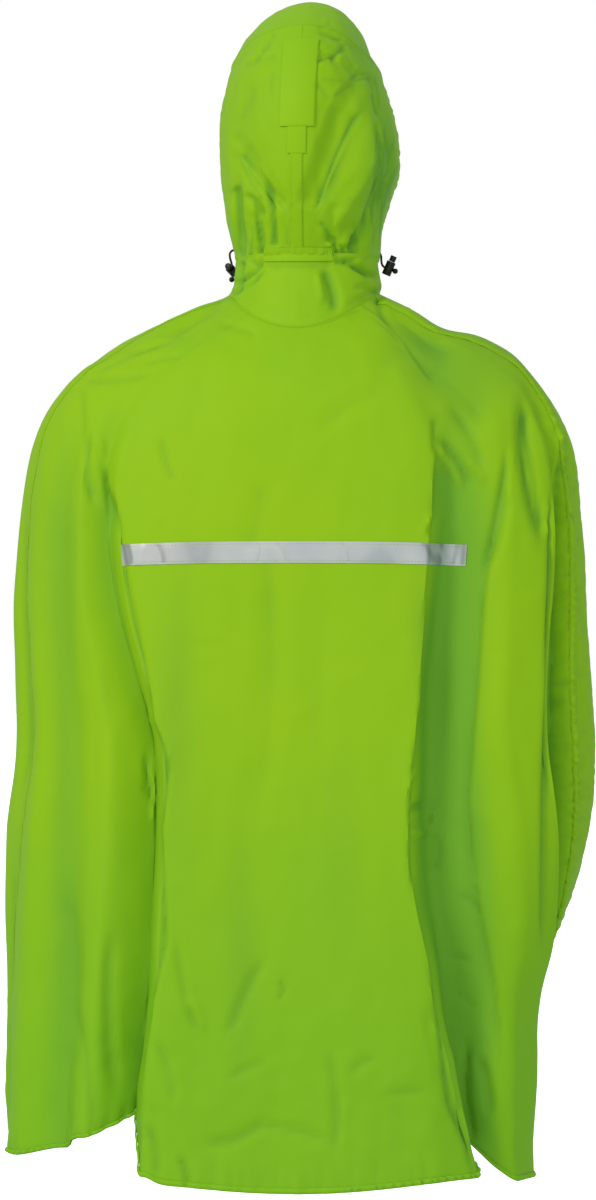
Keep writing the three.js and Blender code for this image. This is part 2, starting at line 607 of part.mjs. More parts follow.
for (const { name, route, barrelFoot, barrelTip, bead } of drawcords) {
  const path = new THREE.CatmullRomCurve3(route.map(vector));
  const section = new THREE.Shape(evenly(0, 2 * Math.PI, 8).slice(0, -1)
    .map((a) => new THREE.Vector2(Math.cos(a), Math.sin(a)).multiplyScalar(cordDiameter / 2)));
  const cord = new THREE.ExtrudeGeometry(section, { extrudePath: path, steps: 16, curveSegments: 1 });
  addPiece(`drawcord_${name}`, closedGeometry(cord), blackCord);

  const foot = vector(barrelFoot);
  const tip = vector(barrelTip);
  const middle = foot.clone().lerp(tip, 0.5);
  const spans = route.map((point) => vector(point).distanceTo(middle));
  const nearest = spans.indexOf(Math.min(...spans));
  const crossing = vector(route[nearest]);
  const ahead = vector(route[nearest + 1]).sub(vector(route[nearest - 1])).normalize();
  const reach = 3 * barrelRadius;
  const hole = turnedPiece(crossing.clone().addScaledVector(ahead, -reach),
    crossing.clone().addScaledVector(ahead, reach), cordHole / 2, 10);
  addPiece(`cord_lock_${name}`, cutAway(turnedPiece(foot, tip, barrelRadius, 18), hole), blackPlastic);

  const along = tip.clone().sub(foot).normalize();
  const plungerFoot = tip.clone().addScaledVector(along, seamGap);
  const plungerTip = plungerFoot.clone().addScaledVector(along, plungerLength);
  addPiece(`lock_plunger_${name}`, turnedPiece(plungerFoot, plungerTip, plungerRadius, 14), blackPlastic);

  const ball = closedGeometry(new THREE.SphereGeometry(beadRadius, 12, 8));
  ball.translate(...bead);
  addPiece(`cord_bead_${name}`, ball, blackPlastic);
}

export default group;
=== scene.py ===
import math

import bpy
import numpy as np
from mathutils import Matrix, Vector, noise


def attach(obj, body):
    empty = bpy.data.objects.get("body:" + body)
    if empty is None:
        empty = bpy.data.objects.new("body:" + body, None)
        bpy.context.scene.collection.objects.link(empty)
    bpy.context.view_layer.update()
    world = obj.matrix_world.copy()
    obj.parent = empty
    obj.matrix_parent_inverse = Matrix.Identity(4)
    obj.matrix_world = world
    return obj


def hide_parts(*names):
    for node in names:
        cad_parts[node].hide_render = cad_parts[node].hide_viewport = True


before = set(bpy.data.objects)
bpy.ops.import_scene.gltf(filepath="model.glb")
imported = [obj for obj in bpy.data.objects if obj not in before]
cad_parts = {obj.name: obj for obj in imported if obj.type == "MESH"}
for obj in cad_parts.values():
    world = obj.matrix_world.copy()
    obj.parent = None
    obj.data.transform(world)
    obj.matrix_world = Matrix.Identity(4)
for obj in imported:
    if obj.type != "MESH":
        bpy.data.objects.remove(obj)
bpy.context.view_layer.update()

# Rain poncho seen from behind, hood up, hanging open as worn. Shapes are worked out in
# millimetres and become metres when a mesh is made. Front -Y, back +Y, left side +X, up +Z.
mm = 0.001


def say(stage):
    print("poncho:", stage)


def deselectAll():
    bpy.ops.object.select_all(action="DESELECT")


def pick(obj):
    deselectAll()
    obj.select_set(True)
    bpy.context.view_layer.objects.active = obj


# Camera, at the photograph's angle

cameraSet = {
    "turn": 185.0,            # degrees round the garment, 180 is square to the back
    "distance": 5.0,
    "aim": (0.0057, 0.0, -0.342),
    "lens": 131.6,
    "sensor": 36.0,
}

turn = math.radians(cameraSet["turn"])
away = Vector((math.sin(turn), -math.cos(turn), 0.0))
cameraData = bpy.data.cameras.new("camera")
cameraData.lens = cameraSet["lens"]
cameraData.sensor_width = cameraSet["sensor"]
camera = bpy.data.objects.new("camera", cameraData)
camera.location = Vector(cameraSet["aim"]) + away * cameraSet["distance"]
camera.rotation_euler = (-away).to_track_quat("-Z", "Y").to_euler()
bpy.context.scene.collection.objects.link(camera)
bpy.context.scene.camera = camera

# Drawcords: each comes out of its channel, goes through its lock and ends in a bead

cordSet = {
    "diameter": 2.6,
    "left": [(79.8, -32, 60), (84.6, -32.3, 59.2), (87.2, -33, 55.6), (86.9, -33.7, 50.5),
             (85.3, -34.1, 44.5), (84.9, -34.2, 36.6), (84.9, -34.1, 29.8)],
    "right": [(-77.9, -32, 57), (-84.4, -32, 56), (-86.9, -31.8, 52), (-87.4, -31.4, 46),
              (-88.4, -31, 41.6), (-91.4, -30.4, 38.6), (-95.5, -30, 36.7), (-99.8, -30, 35.2)],
}


def smoothRoute(points, perSpan=4):
    path = np.array(points, float)
    padded = np.vstack([2 * path[0] - path[1], path, 2 * path[-1] - path[-2]])
    line = []
    for i in range(1, len(padded) - 2):
        for k in range(perSpan):
            t = k / perSpan
            a, b, c, d = padded[i - 1:i + 3]
            line.append(0.5 * (2 * b + (c - a) * t + (2 * a - 5 * b + 4 * c - d) * t * t
                               + (3 * b - a - 3 * c + d) * t ** 3))
    line.append(path[-1])
    return np.array(line)


def makeCord(side):
    line = smoothRoute(cordSet[side])
    data = bpy.data.curves.new("drawcord" + side.title(), "CURVE")
    data.dimensions = "3D"
    data.bevel_depth = cordSet["diameter"] / 2 * mm
    data.bevel_resolution = 4
    data.use_fill_caps = True
    spline = data.splines.new("POLY")
    spline.points.add(len(line) - 1)
    for point, place in zip(spline.points, line):
        point.co = (*(place * mm), 1.0)
    obj = bpy.data.objects.new("drawcord" + side.title(), data)
    bpy.context.scene.collection.objects.link(obj)
    pick(obj)
    bpy.ops.object.convert(target="MESH")
    length = float(np.linalg.norm(np.diff(line, axis=0), axis=1).sum()) * mm
    return obj, length, line * mm


cords = {side: makeCord(side) for side in ("left", "right")}
say("camera and cords")

# Rings of the body from the neckline seam to the hem, before folds: heights at the centre
# back, side and front, half widths, depths, corner squareness
ringColumns = ("zBack", "zSide", "zFront", "left", "right", "back", "front", "square")
bodyRings = np.array([
    (-36, 6, -54, 84, 88, 90, 86, 2.0),
    (-60, -20, -78, 142, 146, 104, 98, 2.0),
    (-92, -50, -108, 210, 212, 118, 110, 2.05),
    (-134, -98, -150, 273, 270, 130, 124, 2.1),
    (-184, -162, -200, 308, 304, 138, 142, 2.15),
    (-248, -256, -268, 324, 316, 144, 166, 2.2),
    (-342, -348, -354, 330, 320, 150, 196, 2.25),
    (-430, -430, -436, 326, 324, 156, 216, 2.3),
    (-510, -510, -514, 324, 328, 162, 228, 2.3),
    (-600, -600, -602, 334, 322, 168, 232, 2.3),
    (-700, -700, -702, 339, 299, 175, 230, 2.3),
    (-780, -780, -782, 340, 270, 181, 227, 2.3),
    (-880, -876, -884, 342, 262, 188, 224, 2.3),
    (-990, -968, -1000, 341, 258, 195, 220, 2.3),
], float)
hemLevel = len(bodyRings) - 1

# Fold lines round the body from the centre back by the left side: degrees round it and how
# far they stand out at five levels, then the height of the lower end
foldLevels = np.array([1, 5, 8, 11, 13], float)
foldTable = [
    ("centreBack", (0, 0, 0, 0, 0), (0, 0, 0, 0, 0), -993),
    ("leftBackEdge", (38, 35, 22.5, 22, 23.9), (0, 4, 9, 12, 16), -984),
    ("leftBackValley", (43, 40, 27, 26.5, 29.5), (0, -20, -36, -42, -47), -912),
    ("leftFlapInner", (50, 47, 37, 36.5, 39.5), (0, 2, 3, 5, 7), -938),
    ("leftFlapTrough", (58, 54, 49, 47, 49), (0, -6, -11, -14, -17), -954),
    ("leftFlapOuter", (66, 63, 60, 62, 64), (0, 2, 4, 6, 8), -965),
    ("leftSeam", (75, 73, 69, 78, 82), (0, -3, -5, -6, -6), -966),
    ("leftSideBulge", (95, 93, 90, 98, 101), (0, 2, 5, 4, 4), -970),
    ("leftArmRidge", (122, 121, 120, 121, 122), (0, 3, 13, 10, 10), -960),
    ("leftFrontValley", (147, 147, 146, 146, 147), (0, -9, -24, -30, -36), -938),
    ("centreFront", (181, 181, 182, 183, 184), (0, 2, 5, 9, 12), -1000),
    ("rightFrontValley", (215, 215, 214, 213, 213), (0, -10, -26, -30, -34), -970),
    ("rightArmRidge", (240, 240, 240, 236, 236), (0, 3, 14, 10, 9), -984),
    ("rightSideBulge", (267, 268, 271, 252, 249), (0, 2, 4, 2, 2), -972),
    ("rightSeam", (286, 283.5, 287.5, 267, 263), (0, -1, -3, -5, -6), -964),
    ("rightRecess", (291, 291, 298, 275, 271), (0, -17, -33, -30, -25), -960),
    ("rightBackRidge", (297, 297, 304.5, 283, 279.5), (0, 3, 7, 9, 9), -991),
    ("rightFlapRidge", (309, 311, 315, 297, 292), (0, 3, 4, 5, 7), -990),
    ("rightBackValley", (322, 327.5, 333, 318.5, 306), (0, -19, -35, -41, -42), -946),
    ("rightBackEdge", (328, 333, 338, 327, 312.5), (0, 3, 7, 10, 14), -979),
]
foldNames = [row[0] for row in foldTable]
foldTurns = np.array([row[1] for row in foldTable], float)
foldOuts = np.array([row[2] for row in foldTable], float)
foldHems = np.array([row[3] for row in foldTable], float)
lineCount = len(foldTable)
waistLines = [foldNames.index(name) for name in ("rightBackValley", "rightBackEdge")]

# Rings of the hood from the neck up over the crown to the brow
hoodColumns = ("backY", "backZ", "sideY", "sideZ", "half", "sweep", "reach")
hoodRings = np.array([
    (76, 46, -4, 44, 80, 164, 1.0),
    (87, 72, -6, 70, 85, 143, 1.15),
    (100, 105, -8, 103, 90, 126, 1.5),
    (110, 145, -10, 145, 95, 117, 1.8),
    (114, 190, -14, 186, 97, 112, 2.1),
    (109, 232, -22, 217, 96, 109, 2.3),
    (94, 270, -34, 238, 93, 108, 2.3),
    (70, 301, -48, 252, 89, 107, 2.3),
    (38, 323, -64, 262, 84, 106, 2.3),
    (0, 336, -80, 268, 79, 106, 2.1),
    (-42, 339, -96, 271, 73, 105, 1.9),
    (-86, 330, -111, 271, 67, 104, 1.7),
    (-128, 310, -125, 268, 61, 103, 1.5),
], float)
browRow = len(hoodRings) - 1
formSet = {
    "hoodRoundness": 1.08,
    "hoodLean": -7.0,
    "collarCurve": 0.8,
    "tape": (-277.0, -301.0),         # top and bottom edge at the centre back
    "crownSeam": 304.0,
    "tab": (287.0, 186.0, 19.5),      # top, bottom, half width
    "stub": (186.0, 156.0, 10.5),
    "strap": (156.0, 54.0, 6.8),
    "neckBandTop": 54.0,
    "neckBandDrop": 8.0,
    "neckBandTurn": 30.0,
    "faceBand": 15.0,
    "sideBand": 4.5,
    "hemBand": 0.1,                   # of a level, about 11 mm
    "clothThickness": 0.8,
}

# The hood's large troughs: two ends in the back view, width, depth
hoodTroughs = [
    (-62, 232, -16, 108, 17, 6),
    (66, 176, 16, 104, 12, 5),
    (-92, 120, -60, 68, 12, 6),
    (70, 118, 66, 64, 9, 5),
    (42, 104, 40, 64, 9, 4),
    (-42, 96, -37, 64, 9, 4),
    (-30, 268, -80, 246, 10, 4),
]


def hermite(start, end, slopeStart, slopeEnd, part):
    square = part * part
    cube = square * part
    return (start * (2 * cube - 3 * square + 1) + end * (3 * square - 2 * cube)
            + slopeStart * (cube - 2 * square + part) + slopeEnd * (cube - square))


def columnAt(table, column, at):
    at = np.asarray(at, float)
    last = len(table) - 1
    row = np.clip(np.floor(at), 0, last - 1).astype(int)
    value = lambda i: table[np.clip(i, 0, last), column]
    slopeStart = (value(row + 1) - value(row - 1)) / 2
    slopeEnd = (value(row + 2) - value(row)) / 2
    return hermite(value(row), value(row + 1), slopeStart, slopeEnd, at - row)


def foldValue(table, line, level):
    last = len(foldLevels) - 1
    i = np.clip(np.searchsorted(foldLevels, level, side="left") - 1, 0, last - 1)
    span = foldLevels[i + 1] - foldLevels[i]
    value = lambda k: table[line, k]

    def slope(k):
        before, after = np.maximum(k - 1, 0), np.minimum(k + 1, last)
        return (value(after) - value(before)) / (foldLevels[after] - foldLevels[before])

    part = (level - foldLevels[i]) / span
    curve = hermite(value(i), value(i + 1), slope(i) * span, slope(i + 1) * span, part)
    return np.where(level <= foldLevels[0], value(0), curve)


def mix(a, b, t):
    return a + (b - a) * t


def softStep(t):
    t = np.clip(t, 0, 1)
    return t * t * (3 - 2 * t)


def hump(distance, reach):
    return np.exp(-(distance / reach) ** 2)


def signedPower(value, power):
    return np.sign(value) * np.abs(value) ** power


def foldPlace(around):
    wrapped = np.mod(around, lineCount)
    first = np.floor(wrapped).astype(int) % lineCount
    return first, (first + 1) % lineCount, wrapped - np.floor(wrapped)


def foldStand(around, level):
    first, after, part = foldPlace(around)
    ease = part * part * (3 - 2 * part)
    stand = mix(foldValue(foldOuts, first, level), foldValue(foldOuts, after, level), ease)
    return stand * softStep((level - 2.3) / 2.5)


def foldTurn(line, level):
    # the right valley is drawn in at the waist
    waist = 3.9 * np.isin(line, waistLines) * hump(level - 9.5, 1.2)
    return foldValue(foldTurns, line, level) + waist


def bodyForm(around, level):
    around, level = np.broadcast_arrays(np.asarray(around, float), np.asarray(level, float))
    first, after, part = foldPlace(around)
    turnFrom = foldTurn(first, level)
    turnTo = foldTurn(after, level)
    turnTo = np.where(turnTo < turnFrom, turnTo + 360, turnTo)
    turn = np.radians(mix(turnFrom, turnTo, part))
    ease = part * part * (3 - 2 * part)
    out = foldStand(around, level)
    ring = {name: columnAt(bodyRings, i, level) for i, name in enumerate(ringColumns)}
    sine, cosine = np.sin(turn), np.cos(turn)
    power = 2 / ring["square"]
    half = np.where(sine >= 0, ring["left"], ring["right"])
    depth = np.where(cosine >= 0, ring["back"], ring["front"])
    x = half * signedPower(sine, power)
    y = depth * signedPower(cosine, power)
    z = mix(ring["zSide"], np.where(cosine >= 0, ring["zBack"], ring["zFront"]), cosine ** 2)
    lower = np.maximum(0, (level - 8) / (hemLevel - 8))
    hem = mix(foldHems[first], foldHems[after], ease)
    plain = dict(zip(ringColumns, bodyRings[hemLevel]))
    plainEnd = np.where(cosine >= 0, plain["zBack"], plain["zFront"])
    z = z + (hem - mix(plain["zSide"], plainEnd, cosine ** 2)) * lower ** 1.4
    outX = signedPower(x / half, ring["square"] - 1) / half
    outY = signedPower(y / depth, ring["square"] - 1) / depth
    length = np.hypot(outX, outY)
    return np.stack([x + out * outX / length, y + out * outY / length, z], -1)


def hoodForm(across, row):
    across, row = np.broadcast_arrays(np.asarray(across, float), np.asarray(row, float))
    ring = {name: columnAt(hoodRings, i, row) for i, name in enumerate(hoodColumns)}
    swing = np.radians(ring["sweep"]) * np.abs(across)
    forward = np.where(np.cos(swing) >= 0, 1.0, ring["reach"])
    lean = formSet["hoodLean"] * np.maximum(0, (ring["backZ"] - 60) / 280)
    bulge = np.abs(np.sin(swing)) ** formSet["hoodRoundness"]
    x = np.sign(across) * ring["half"] * bulge + lean * np.maximum(0, 1 - bulge * 0.6)
    backward = np.cos(swing) * forward
    y = mix(ring["sideY"], ring["backY"], backward)
    z = mix(ring["sideZ"], ring["backZ"], backward)
    facing = np.sqrt(np.maximum(0, np.cos(swing)))
    depth = np.zeros_like(x)
    for x1, z1, x2, z2, wide, deep in hoodTroughs:
        runX, runZ = x2 - x1, z2 - z1
        near = np.clip(((x - x1) * runX + (z - z1) * runZ) / (runX ** 2 + runZ ** 2), 0, 1)
        apart = np.minimum(np.hypot(x - x1 - near * runX, z - z1 - near * runZ) / wide, 1)
        depth += deep * (1 + np.cos(np.pi * apart)) / 2
    return np.stack([x, y - depth * facing, z], -1)


def collarForm(turn, up):
    turn, up = np.broadcast_arrays(np.asarray(turn, float), np.asarray(up, float))
    sine, cosine = np.sin(np.radians(turn)), np.cos(np.radians(turn))
    seam = dict(zip(ringColumns, bodyRings[0]))
    base = dict(zip(hoodColumns, hoodRings[0]))
    ends = np.where(cosine >= 0, seam["zBack"], seam["zFront"])
    low = np.stack([sine * np.where(sine >= 0, seam["left"], seam["right"]),
                    cosine * np.where(cosine >= 0, seam["back"], seam["front"]),
                    mix(seam["zSide"], ends, cosine ** 2)], -1)
    high = np.stack([base["half"] * signedPower(sine, formSet["hoodRoundness"]),
                     mix(base["sideY"], base["backY"], cosine),
                     mix(base["sideZ"], base["backZ"], cosine)], -1)
    point = mix(low, high, signedPower(up, formSet["collarCurve"])[..., None])
    point[..., 2] = mix(low[..., 2], high[..., 2], up)
    return point


def unit(vectors):
    return vectors / np.maximum(np.linalg.norm(vectors, axis=-1, keepdims=True), 1e-9)


def outward(form, u, v, side, step=0.004):
    alongU = form(u + step, v) - form(u - step, v)
    alongV = form(u, v + step) - form(u, v - step)
    return unit(np.cross(alongU, alongV)) * side


def solveLevel(form, u, low, high, height):
    lowHeight = form(u, low)[2]
    rising = form(u, high)[2] > lowHeight
    for _ in range(40):
        middle = (low + high) / 2
        if (form(u, middle)[2] > height) == rising:
            high = middle
        else:
            low = middle
    return (low + high) / 2


# Creases, given one by one. Each row: two ends across and up as seen from behind, bow of its line,
# half width, depth in millimetres. A minus depth is a ridge.

backCreases = [
    # shoulder seam fold on the left and the wrinkles under it
    (85, -2, 150, -43, -3, 9, 2.4),
    (149, -44, 241, -82, -4, 9, 2.6),
    (99, -2, 186, -48, -3, 10, -2.5),
    (182, -73, 140, -64, 2, 8, 1.6),
    (256, -89, 174, -84, -3, 10, 2),
    (209, -59, 163, -50, 0, 7, 1.2),
    # left sleeve line, the folds under it and the top of the back's left edge
    (253, -93, 252, -150, 0, 4, 0.9),
    (248, -155, 241, -228, -3, 10, 4),
    (235, -160, 225, -194, 2, 8, -2.5),
    (228, -173, 209, -274, -3, 9, 3),
    (163, -160, 149, -205, -2, 9, 1.6),
    # under the neck band
    (95, -27, 56, -39, 2, 9, 1.6),
    (-25, 32, -37, -9, 3, 11, 3.4),
    (-17, 27, -22, 0, 0, 8, -2),
    (-33, 48, -79, 21, 3, 8, 3),
    (-86, 17, -99, -21, -4, 9, 3),
    (47, 43, 81, 20, 3, 6, 3),
    (46, 34, 92, 4, 4, 7, 3),
    (60, 24, 98, -8, 3, 8, -2),
    (73, 44, 77, 10, 0, 6, 2.4),
    (-56, 38, -84, 26, -2, 6, 2.6),
    (-60, 14, -88, 2, 2, 8, 2),
    # right shoulder hollow
    (-97, -14, -168, -52, 5, 22, 4.2),
    (-110, -50, -200, -128, 10, 60, 6),
    (-111, -7, -174, -43, 3, 10, -3),
    (-86, -25, -111, -43, 2, 6, 1.2),
    (-72, 0, -54, -21, 0, 6, 1),
    # crumples above the right valley
    (-155, -166, -181, -214, 2, 7, -3.2),
    (-163, -162, -190, -210, 2, 6, 2.6),
    (-173, -125, -202, -185, 3, 12, 2.4),
    (-190, -185, -206, -207, 1, 6, -2.2),
    (-152, -137, -152, -173, 0, 9, 2.5),
    (-157, -194, -153, -251, 4, 9, 2.6),
    (-137, -264, -154, -242, 2, 6, -2.2),
    (-138, -255, -152, -271, 1, 5, 1.8),
    # both sides of the bright ridge on the right flap
    (-250, -119, -275, -274, -6, 14, 7),
    (-239, -171, -235, -228, 0, 9, -3.5),
    (-238, -173, -209, -303, 4, 14, 5),
    (-294, -146, -285, -194, 2, 7, -3),
    (-301, -160, -306, -205, 1, 5, 2),
    # wide faint hollows of the back
    (-15, -150, -88, -105, 6, 22, 1.6),
    (51, -219, 60, -274, 4, 24, 1.8),
    (43, -296, 51, -570, 10, 30, 2.2),
    (-31, -342, -17, -524, -6, 34, 1.5),
    # waist puckers, left then right
    (182, -520, 172, -570, -3, 7, 2.4),
    (177, -538, 168, -565, 2, 5, -1.8),
    (172, -559, 174, -595, 1, 5, -1.6),
    (186, -552, 174, -570, -2, 5, 1.5),
    (155, -515, 152, -531, 0, 6, -1.5),
    (-121, -559, -131, -536, 2, 6, -2.6),
    (-123, -584, -149, -575, 3, 7, 3),
    (-147, -577, -148, -600, 1, 4, -3.4),
    (-127, -606, -152, -602, -3, 7, -2.6),
    (-152, -613, -149, -650, 3, 7, 2.4),
    (-124, -618, -127, -661, 0, 9, 2.2),
    # hand wrinkles down the right valley
    (-181, -679, -200, -698, 2, 6, 1.6),
    (-168, -748, -188, -755, 3, 6, 1.6),
    (-174, -793, -193, -803, 2, 5, 1.3),
    (-190, -661, -209, -675, 2, 5, -1.3),
    # the two flaps
    (-186, -850, -193, -958, -4, 9, 4),
    (-202, -866, -213, -923, 3, 12, 3),
    (272, -684, 266, -798, 4, 16, 2.4),
    (270, -798, 243, -935, 5, 16, 2.4),
    (222, -730, 218, -901, -4, 14, 3),
    # low crumples above the hem, left then right
    (145, -734, 122, -834, -4, 10, 2.4),
    (133, -798, 113, -832, 2, 8, -2),
    (84, -839, 47, -755, 3, 13, 2.4),
    (85, -839, 76, -830, 0, 5, -1.5),
    (28, -796, 26, -777, -5, 7, 1.8),
    (83, -887, 44, -869, 2, 9, 1.6),
    (108, -962, 47, -939, -6, 12, 2.4),
    (47, -942, -31, -958, 3, 12, 1.8),
    (168, -848, 149, -912, 4, 12, 2.4),
    (142, -980, 133, -1015, 3, 8, 3),
    (177, -946, 168, -999, 3, 9, 2.4),
    (-31, -862, -38, -969, 3, 12, 2.2),
    (-56, -880, -79, -864, 3, 11, 1.6),
    (-92, -907, -140, -903, 3, 9, 1.5),
    (-49, -914, -42, -969, 0, 8, -1.4),
    (-145, -809, -161, -889, -3, 14, 1.8),
]

hoodCreases = [
    # diagonals that run in to the strap, and the upright gathers of the left side
    (71, 163, 13, 98, -6, 12, 3),
    (47, 153, 13, 109, -3, 7, -2),
    (74, 137, 72, 43, 0, 8, 3),
    (82, 114, 81, 48, 0, 7, -2),
    (41, 130, 33, 55, 4, 8, 3.5),
    (54, 96, 50, 43, 3, 8, 3.5),
    (63, 119, 47, 96, 2, 9, 3),
    (22, 98, 16, 50, 0, 6, 2.4),
    (14, 96, 14, 50, 0, 4, 1.6),
    # the right side's diagonals and the crinkled face edge
    (-62, 210, -11, 98, 6, 14, 3),
    (-79, 203, -31, 78, 8, 16, -3.5),
    (-81, 139, -54, 57, 6, 11, 4),
    (-76, 204, -71, 80, 2, 6, 3.4),
    (-84, 198, -76, 100, 2, 5, 3),
    (-91, 182, -82, 106, 1, 5, 3),
    (-78, 156, -80, 62, 1, 5, 2.6),
    (-80, 192, -74, 96, 1, 4, -2.2),
    (-88, 172, -82, 112, 1, 4, -2),
    (-86, 120, -84, 70, 1, 5, 2.4),
    (-79, 233, -81, 210, 0, 7, 2.5),
    # crinkles beside the tab
    (-16, 271, -38, 274, 3, 6, 1.5),
    (-16, 280, -31, 271, 1, 4, -0.8),
    (-33, 271, -49, 287, 2, 6, 1.2),
    (-38, 290, -49, 296, 0, 5, -0.7),
    (-42, 278, -54, 267, 2, 5, -0.8),
    (-56, 251, -72, 260, 2, 6, 1.3),
    (-47, 242, -81, 253, 3, 6, 1.5),
    (-63, 267, -70, 258, 0, 4, -0.8),
    (-35, 235, -60, 249, 3, 6, -0.9),
    (-15, 246, -31, 228, 2, 8, 1.0),
    # creases that run down from the ends of the crown seam
    (33, 306, 47, 285, 2, 8, 1.6),
    (42, 303, 65, 267, 5, 10, 1.5),
    (-17, 310, -31, 312, 0, 5, 1.0),
    (-24, 319, -31, 308, -1, 5, -0.8),
    (-15, 306, -47, 292, 2, 6, 1.2),
    (54, 274, 28, 278, 2, 9, 0.9),
    (60, 246, 72, 205, 4, 12, 1.1),
    # the bunch above the right end of the neck band
    (-30, 64, -34, 43, 1, 5, -3),
    (-35, 71, -38, 48, 1, 5, 2.6),
    (-42, 62, -49, 43, 1, 6, 2.6),
    (-22, 87, -31, 68, 1, 6, 2),
    (-49, 78, -40, 57, 2, 6, -2),
    (-56, 73, -54, 43, 2, 8, 3),
    (63, 50, 54, 39, 0, 6, 2),
]

# Edges where a fold stands over the cloth beside it: places down the edge across and up, the
# side that drops away (1 left, -1 right), how far the drop reaches and its depth
backLedges = [
    # left and right edge of the flat centre back
    ([(229, -170), (222, -200), (211, -269), (196, -342), (180, -415), (171, -479), (153, -528),
      (156, -563), (162, -604), (156, -706), (156, -734), (171, -798), (186, -929), (188, -1030)],
     1, 20, 6),
    ([(-150, -120), (-156, -148), (-148, -250), (-141, -342), (-136, -456), (-121, -559),
      (-123, -650), (-145, -752), (-164, -912), (-186, -962), (-194, -1030)], -1, 24, 7),
    # left edge of the bright ridge on the right flap, and the crease on its right
    ([(-239, -170), (-211, -299), (-206, -342), (-188, -570), (-199, -684), (-223, -798),
      (-230, -880)], 1, 16, 5),
    ([(-249, -122), (-262, -190), (-274, -265)], -1, 12, 6),
    # right ridge beside the dark recess
    ([(-292, -140), (-288, -187), (-284, -237), (-280, -299), (-278, -365), (-275, -488),
      (-272, -575), (-271, -691), (-269, -760)], -1, 18, 8),
    # sleeve line on the left and the shoulder seam
    ([(253, -88), (252, -155), (248, -230)], 1, 14, 2.5),
    ([(80, 4), (148, -39), (172, -43), (250, -77)], 1, 8, 2.2),
    # right shoulder, where the cloth sinks beside the neck
    ([(-46, 6), (-84, -16), (-118, -44), (-150, -92)], -1, 34, 3),
]
hoodLedges = [
    ([(-74, 262), (-80, 239), (-85, 171), (-82, 114), (-74, 50)], -1, 14, 5),
    ([(-76, 140), (-64, 96), (-48, 52)], -1, 10, 4),
    ([(-66, 214), (-40, 160), (-12, 96)], 1, 17, 4),
    ([(76, 168), (46, 136), (14, 94)], -1, 12, 4),
    ([(76, 130), (74, 90), (76, 46)], 1, 9, 3),
]
creaseGain = {"back": 1.5, "hood": 1.5, "front": 1.6, "side": 1.6}

# The same as the creases for the front, ends as x and z
frontCreases = [
    (-60, -60, -150, -130, 8, 16, 4),
    (64, -58, 162, -124, -8, 18, 4),
    (-20, -70, -34, -230, 5, 18, 3),
    (34, -74, 52, -270, -6, 20, 3),
    (150, -150, 196, -330, -8, 18, 5),
    (-150, -160, -190, -340, 8, 18, 5),
    (-96, -300, -112, -560, 8, 24, 4),
    (88, -340, 108, -640, -8, 26, 4),
    (6, -420, -12, -760, 8, 30, 3),
    (180, -640, 168, -900, 6, 20, 4),
    (-176, -600, -160, -880, -6, 18, 4),
    (-62, -760, -70, -980, 4, 18, 3),
    (60, -780, 70, -985, -4, 18, 3),
    (-30, -300, 24, -330, 5, 10, 1.6),
    (120, -520, 146, -548, 3, 8, 2),
    (-128, -500, -150, -540, 3, 8, 2),
]

# The same for the two sides, ends as y and z; the first number is the side, 1 left, -1 right
sideCreases = [
    (1, -40, -190, -60, -420, 8, 18, 4),
    (1, 30, -240, 50, -560, -8, 18, 4),
    (1, -20, -560, -40, -900, 6, 20, 4),
    (1, 40, -640, 30, -940, -4, 14, 3),
    (1, -90, -300, -110, -640, 6, 16, -3),
    (-1, -50, -200, -70, -470, 6, 16, 4),
    (-1, -100, -420, -90, -700, -6, 16, -3),
    (-1, -30, -520, -60, -800, 5, 14, 3),
    (-1, 10, -760, -10, -950, 4, 12, 3),
]


def creaseField(across, up, rows):
    field = np.zeros_like(across)
    for x1, z1, x2, z2, bow, wide, deep in rows:
        runX, runZ = x2 - x1, z2 - z1
        length = math.hypot(runX, runZ)
        along = ((across - x1) * runX + (up - z1) * runZ) / length ** 2
        beside = ((across - x1) * runZ - (up - z1) * runX) / length
        arch = 4 * np.clip(along, 0, 1) * (1 - np.clip(along, 0, 1))
        apart = np.minimum(np.abs(beside - bow * arch) / wide, 1)
        sharp = (1 - apart) ** 2
        soft = (1 + np.cos(np.pi * apart)) / 2
        reach = 0.12 + wide / length * 0.3
        taper = softStep((along + reach) / 0.35) * softStep((1 + reach - along) / 0.35)
        field -= deep * (0.4 * sharp + 0.6 * soft) * taper
    return field


def ledgeField(across, up, rows, lip=3.5):
    field = np.zeros_like(across)
    for line, side, reach, deep in rows:
        places = np.array(line, float)
        spans = np.hypot(*np.diff(places, axis=0).T)
        walked = np.concatenate([[0], np.cumsum(spans)])
        nearest = np.full(across.shape, 1e9)
        beside, share = np.zeros_like(across), np.zeros_like(across)
        for i in range(len(spans)):
            (startX, startZ), (runX, runZ) = places[i], places[i + 1] - places[i]
            part = np.clip(((across - startX) * runX + (up - startZ) * runZ) / spans[i] ** 2, 0, 1)
            apart = np.hypot(across - startX - part * runX, up - startZ - part * runZ)
            turned = (up - startZ) * runX - (across - startX) * runZ
            closer = apart < nearest
            nearest = np.where(closer, apart, nearest)
            beside = np.where(closer, np.sign(turned) * apart * side, beside)
            share = np.where(closer, (walked[i] + part * spans[i]) / walked[-1], share)
        drop = softStep((beside + lip) / (2 * lip)) * np.exp(-np.maximum(beside - lip, 0) / reach)
        field -= deep * drop * softStep(share / 0.1) * softStep((1 - share) / 0.1)
    return field


def seenFromBehind(point):
    near = 1 - point[..., 1] / 5000
    across = (point[..., 0] + 0.0875 * point[..., 1]) / near
    up = -342 + (point[..., 2] + 342) / near
    return across, up


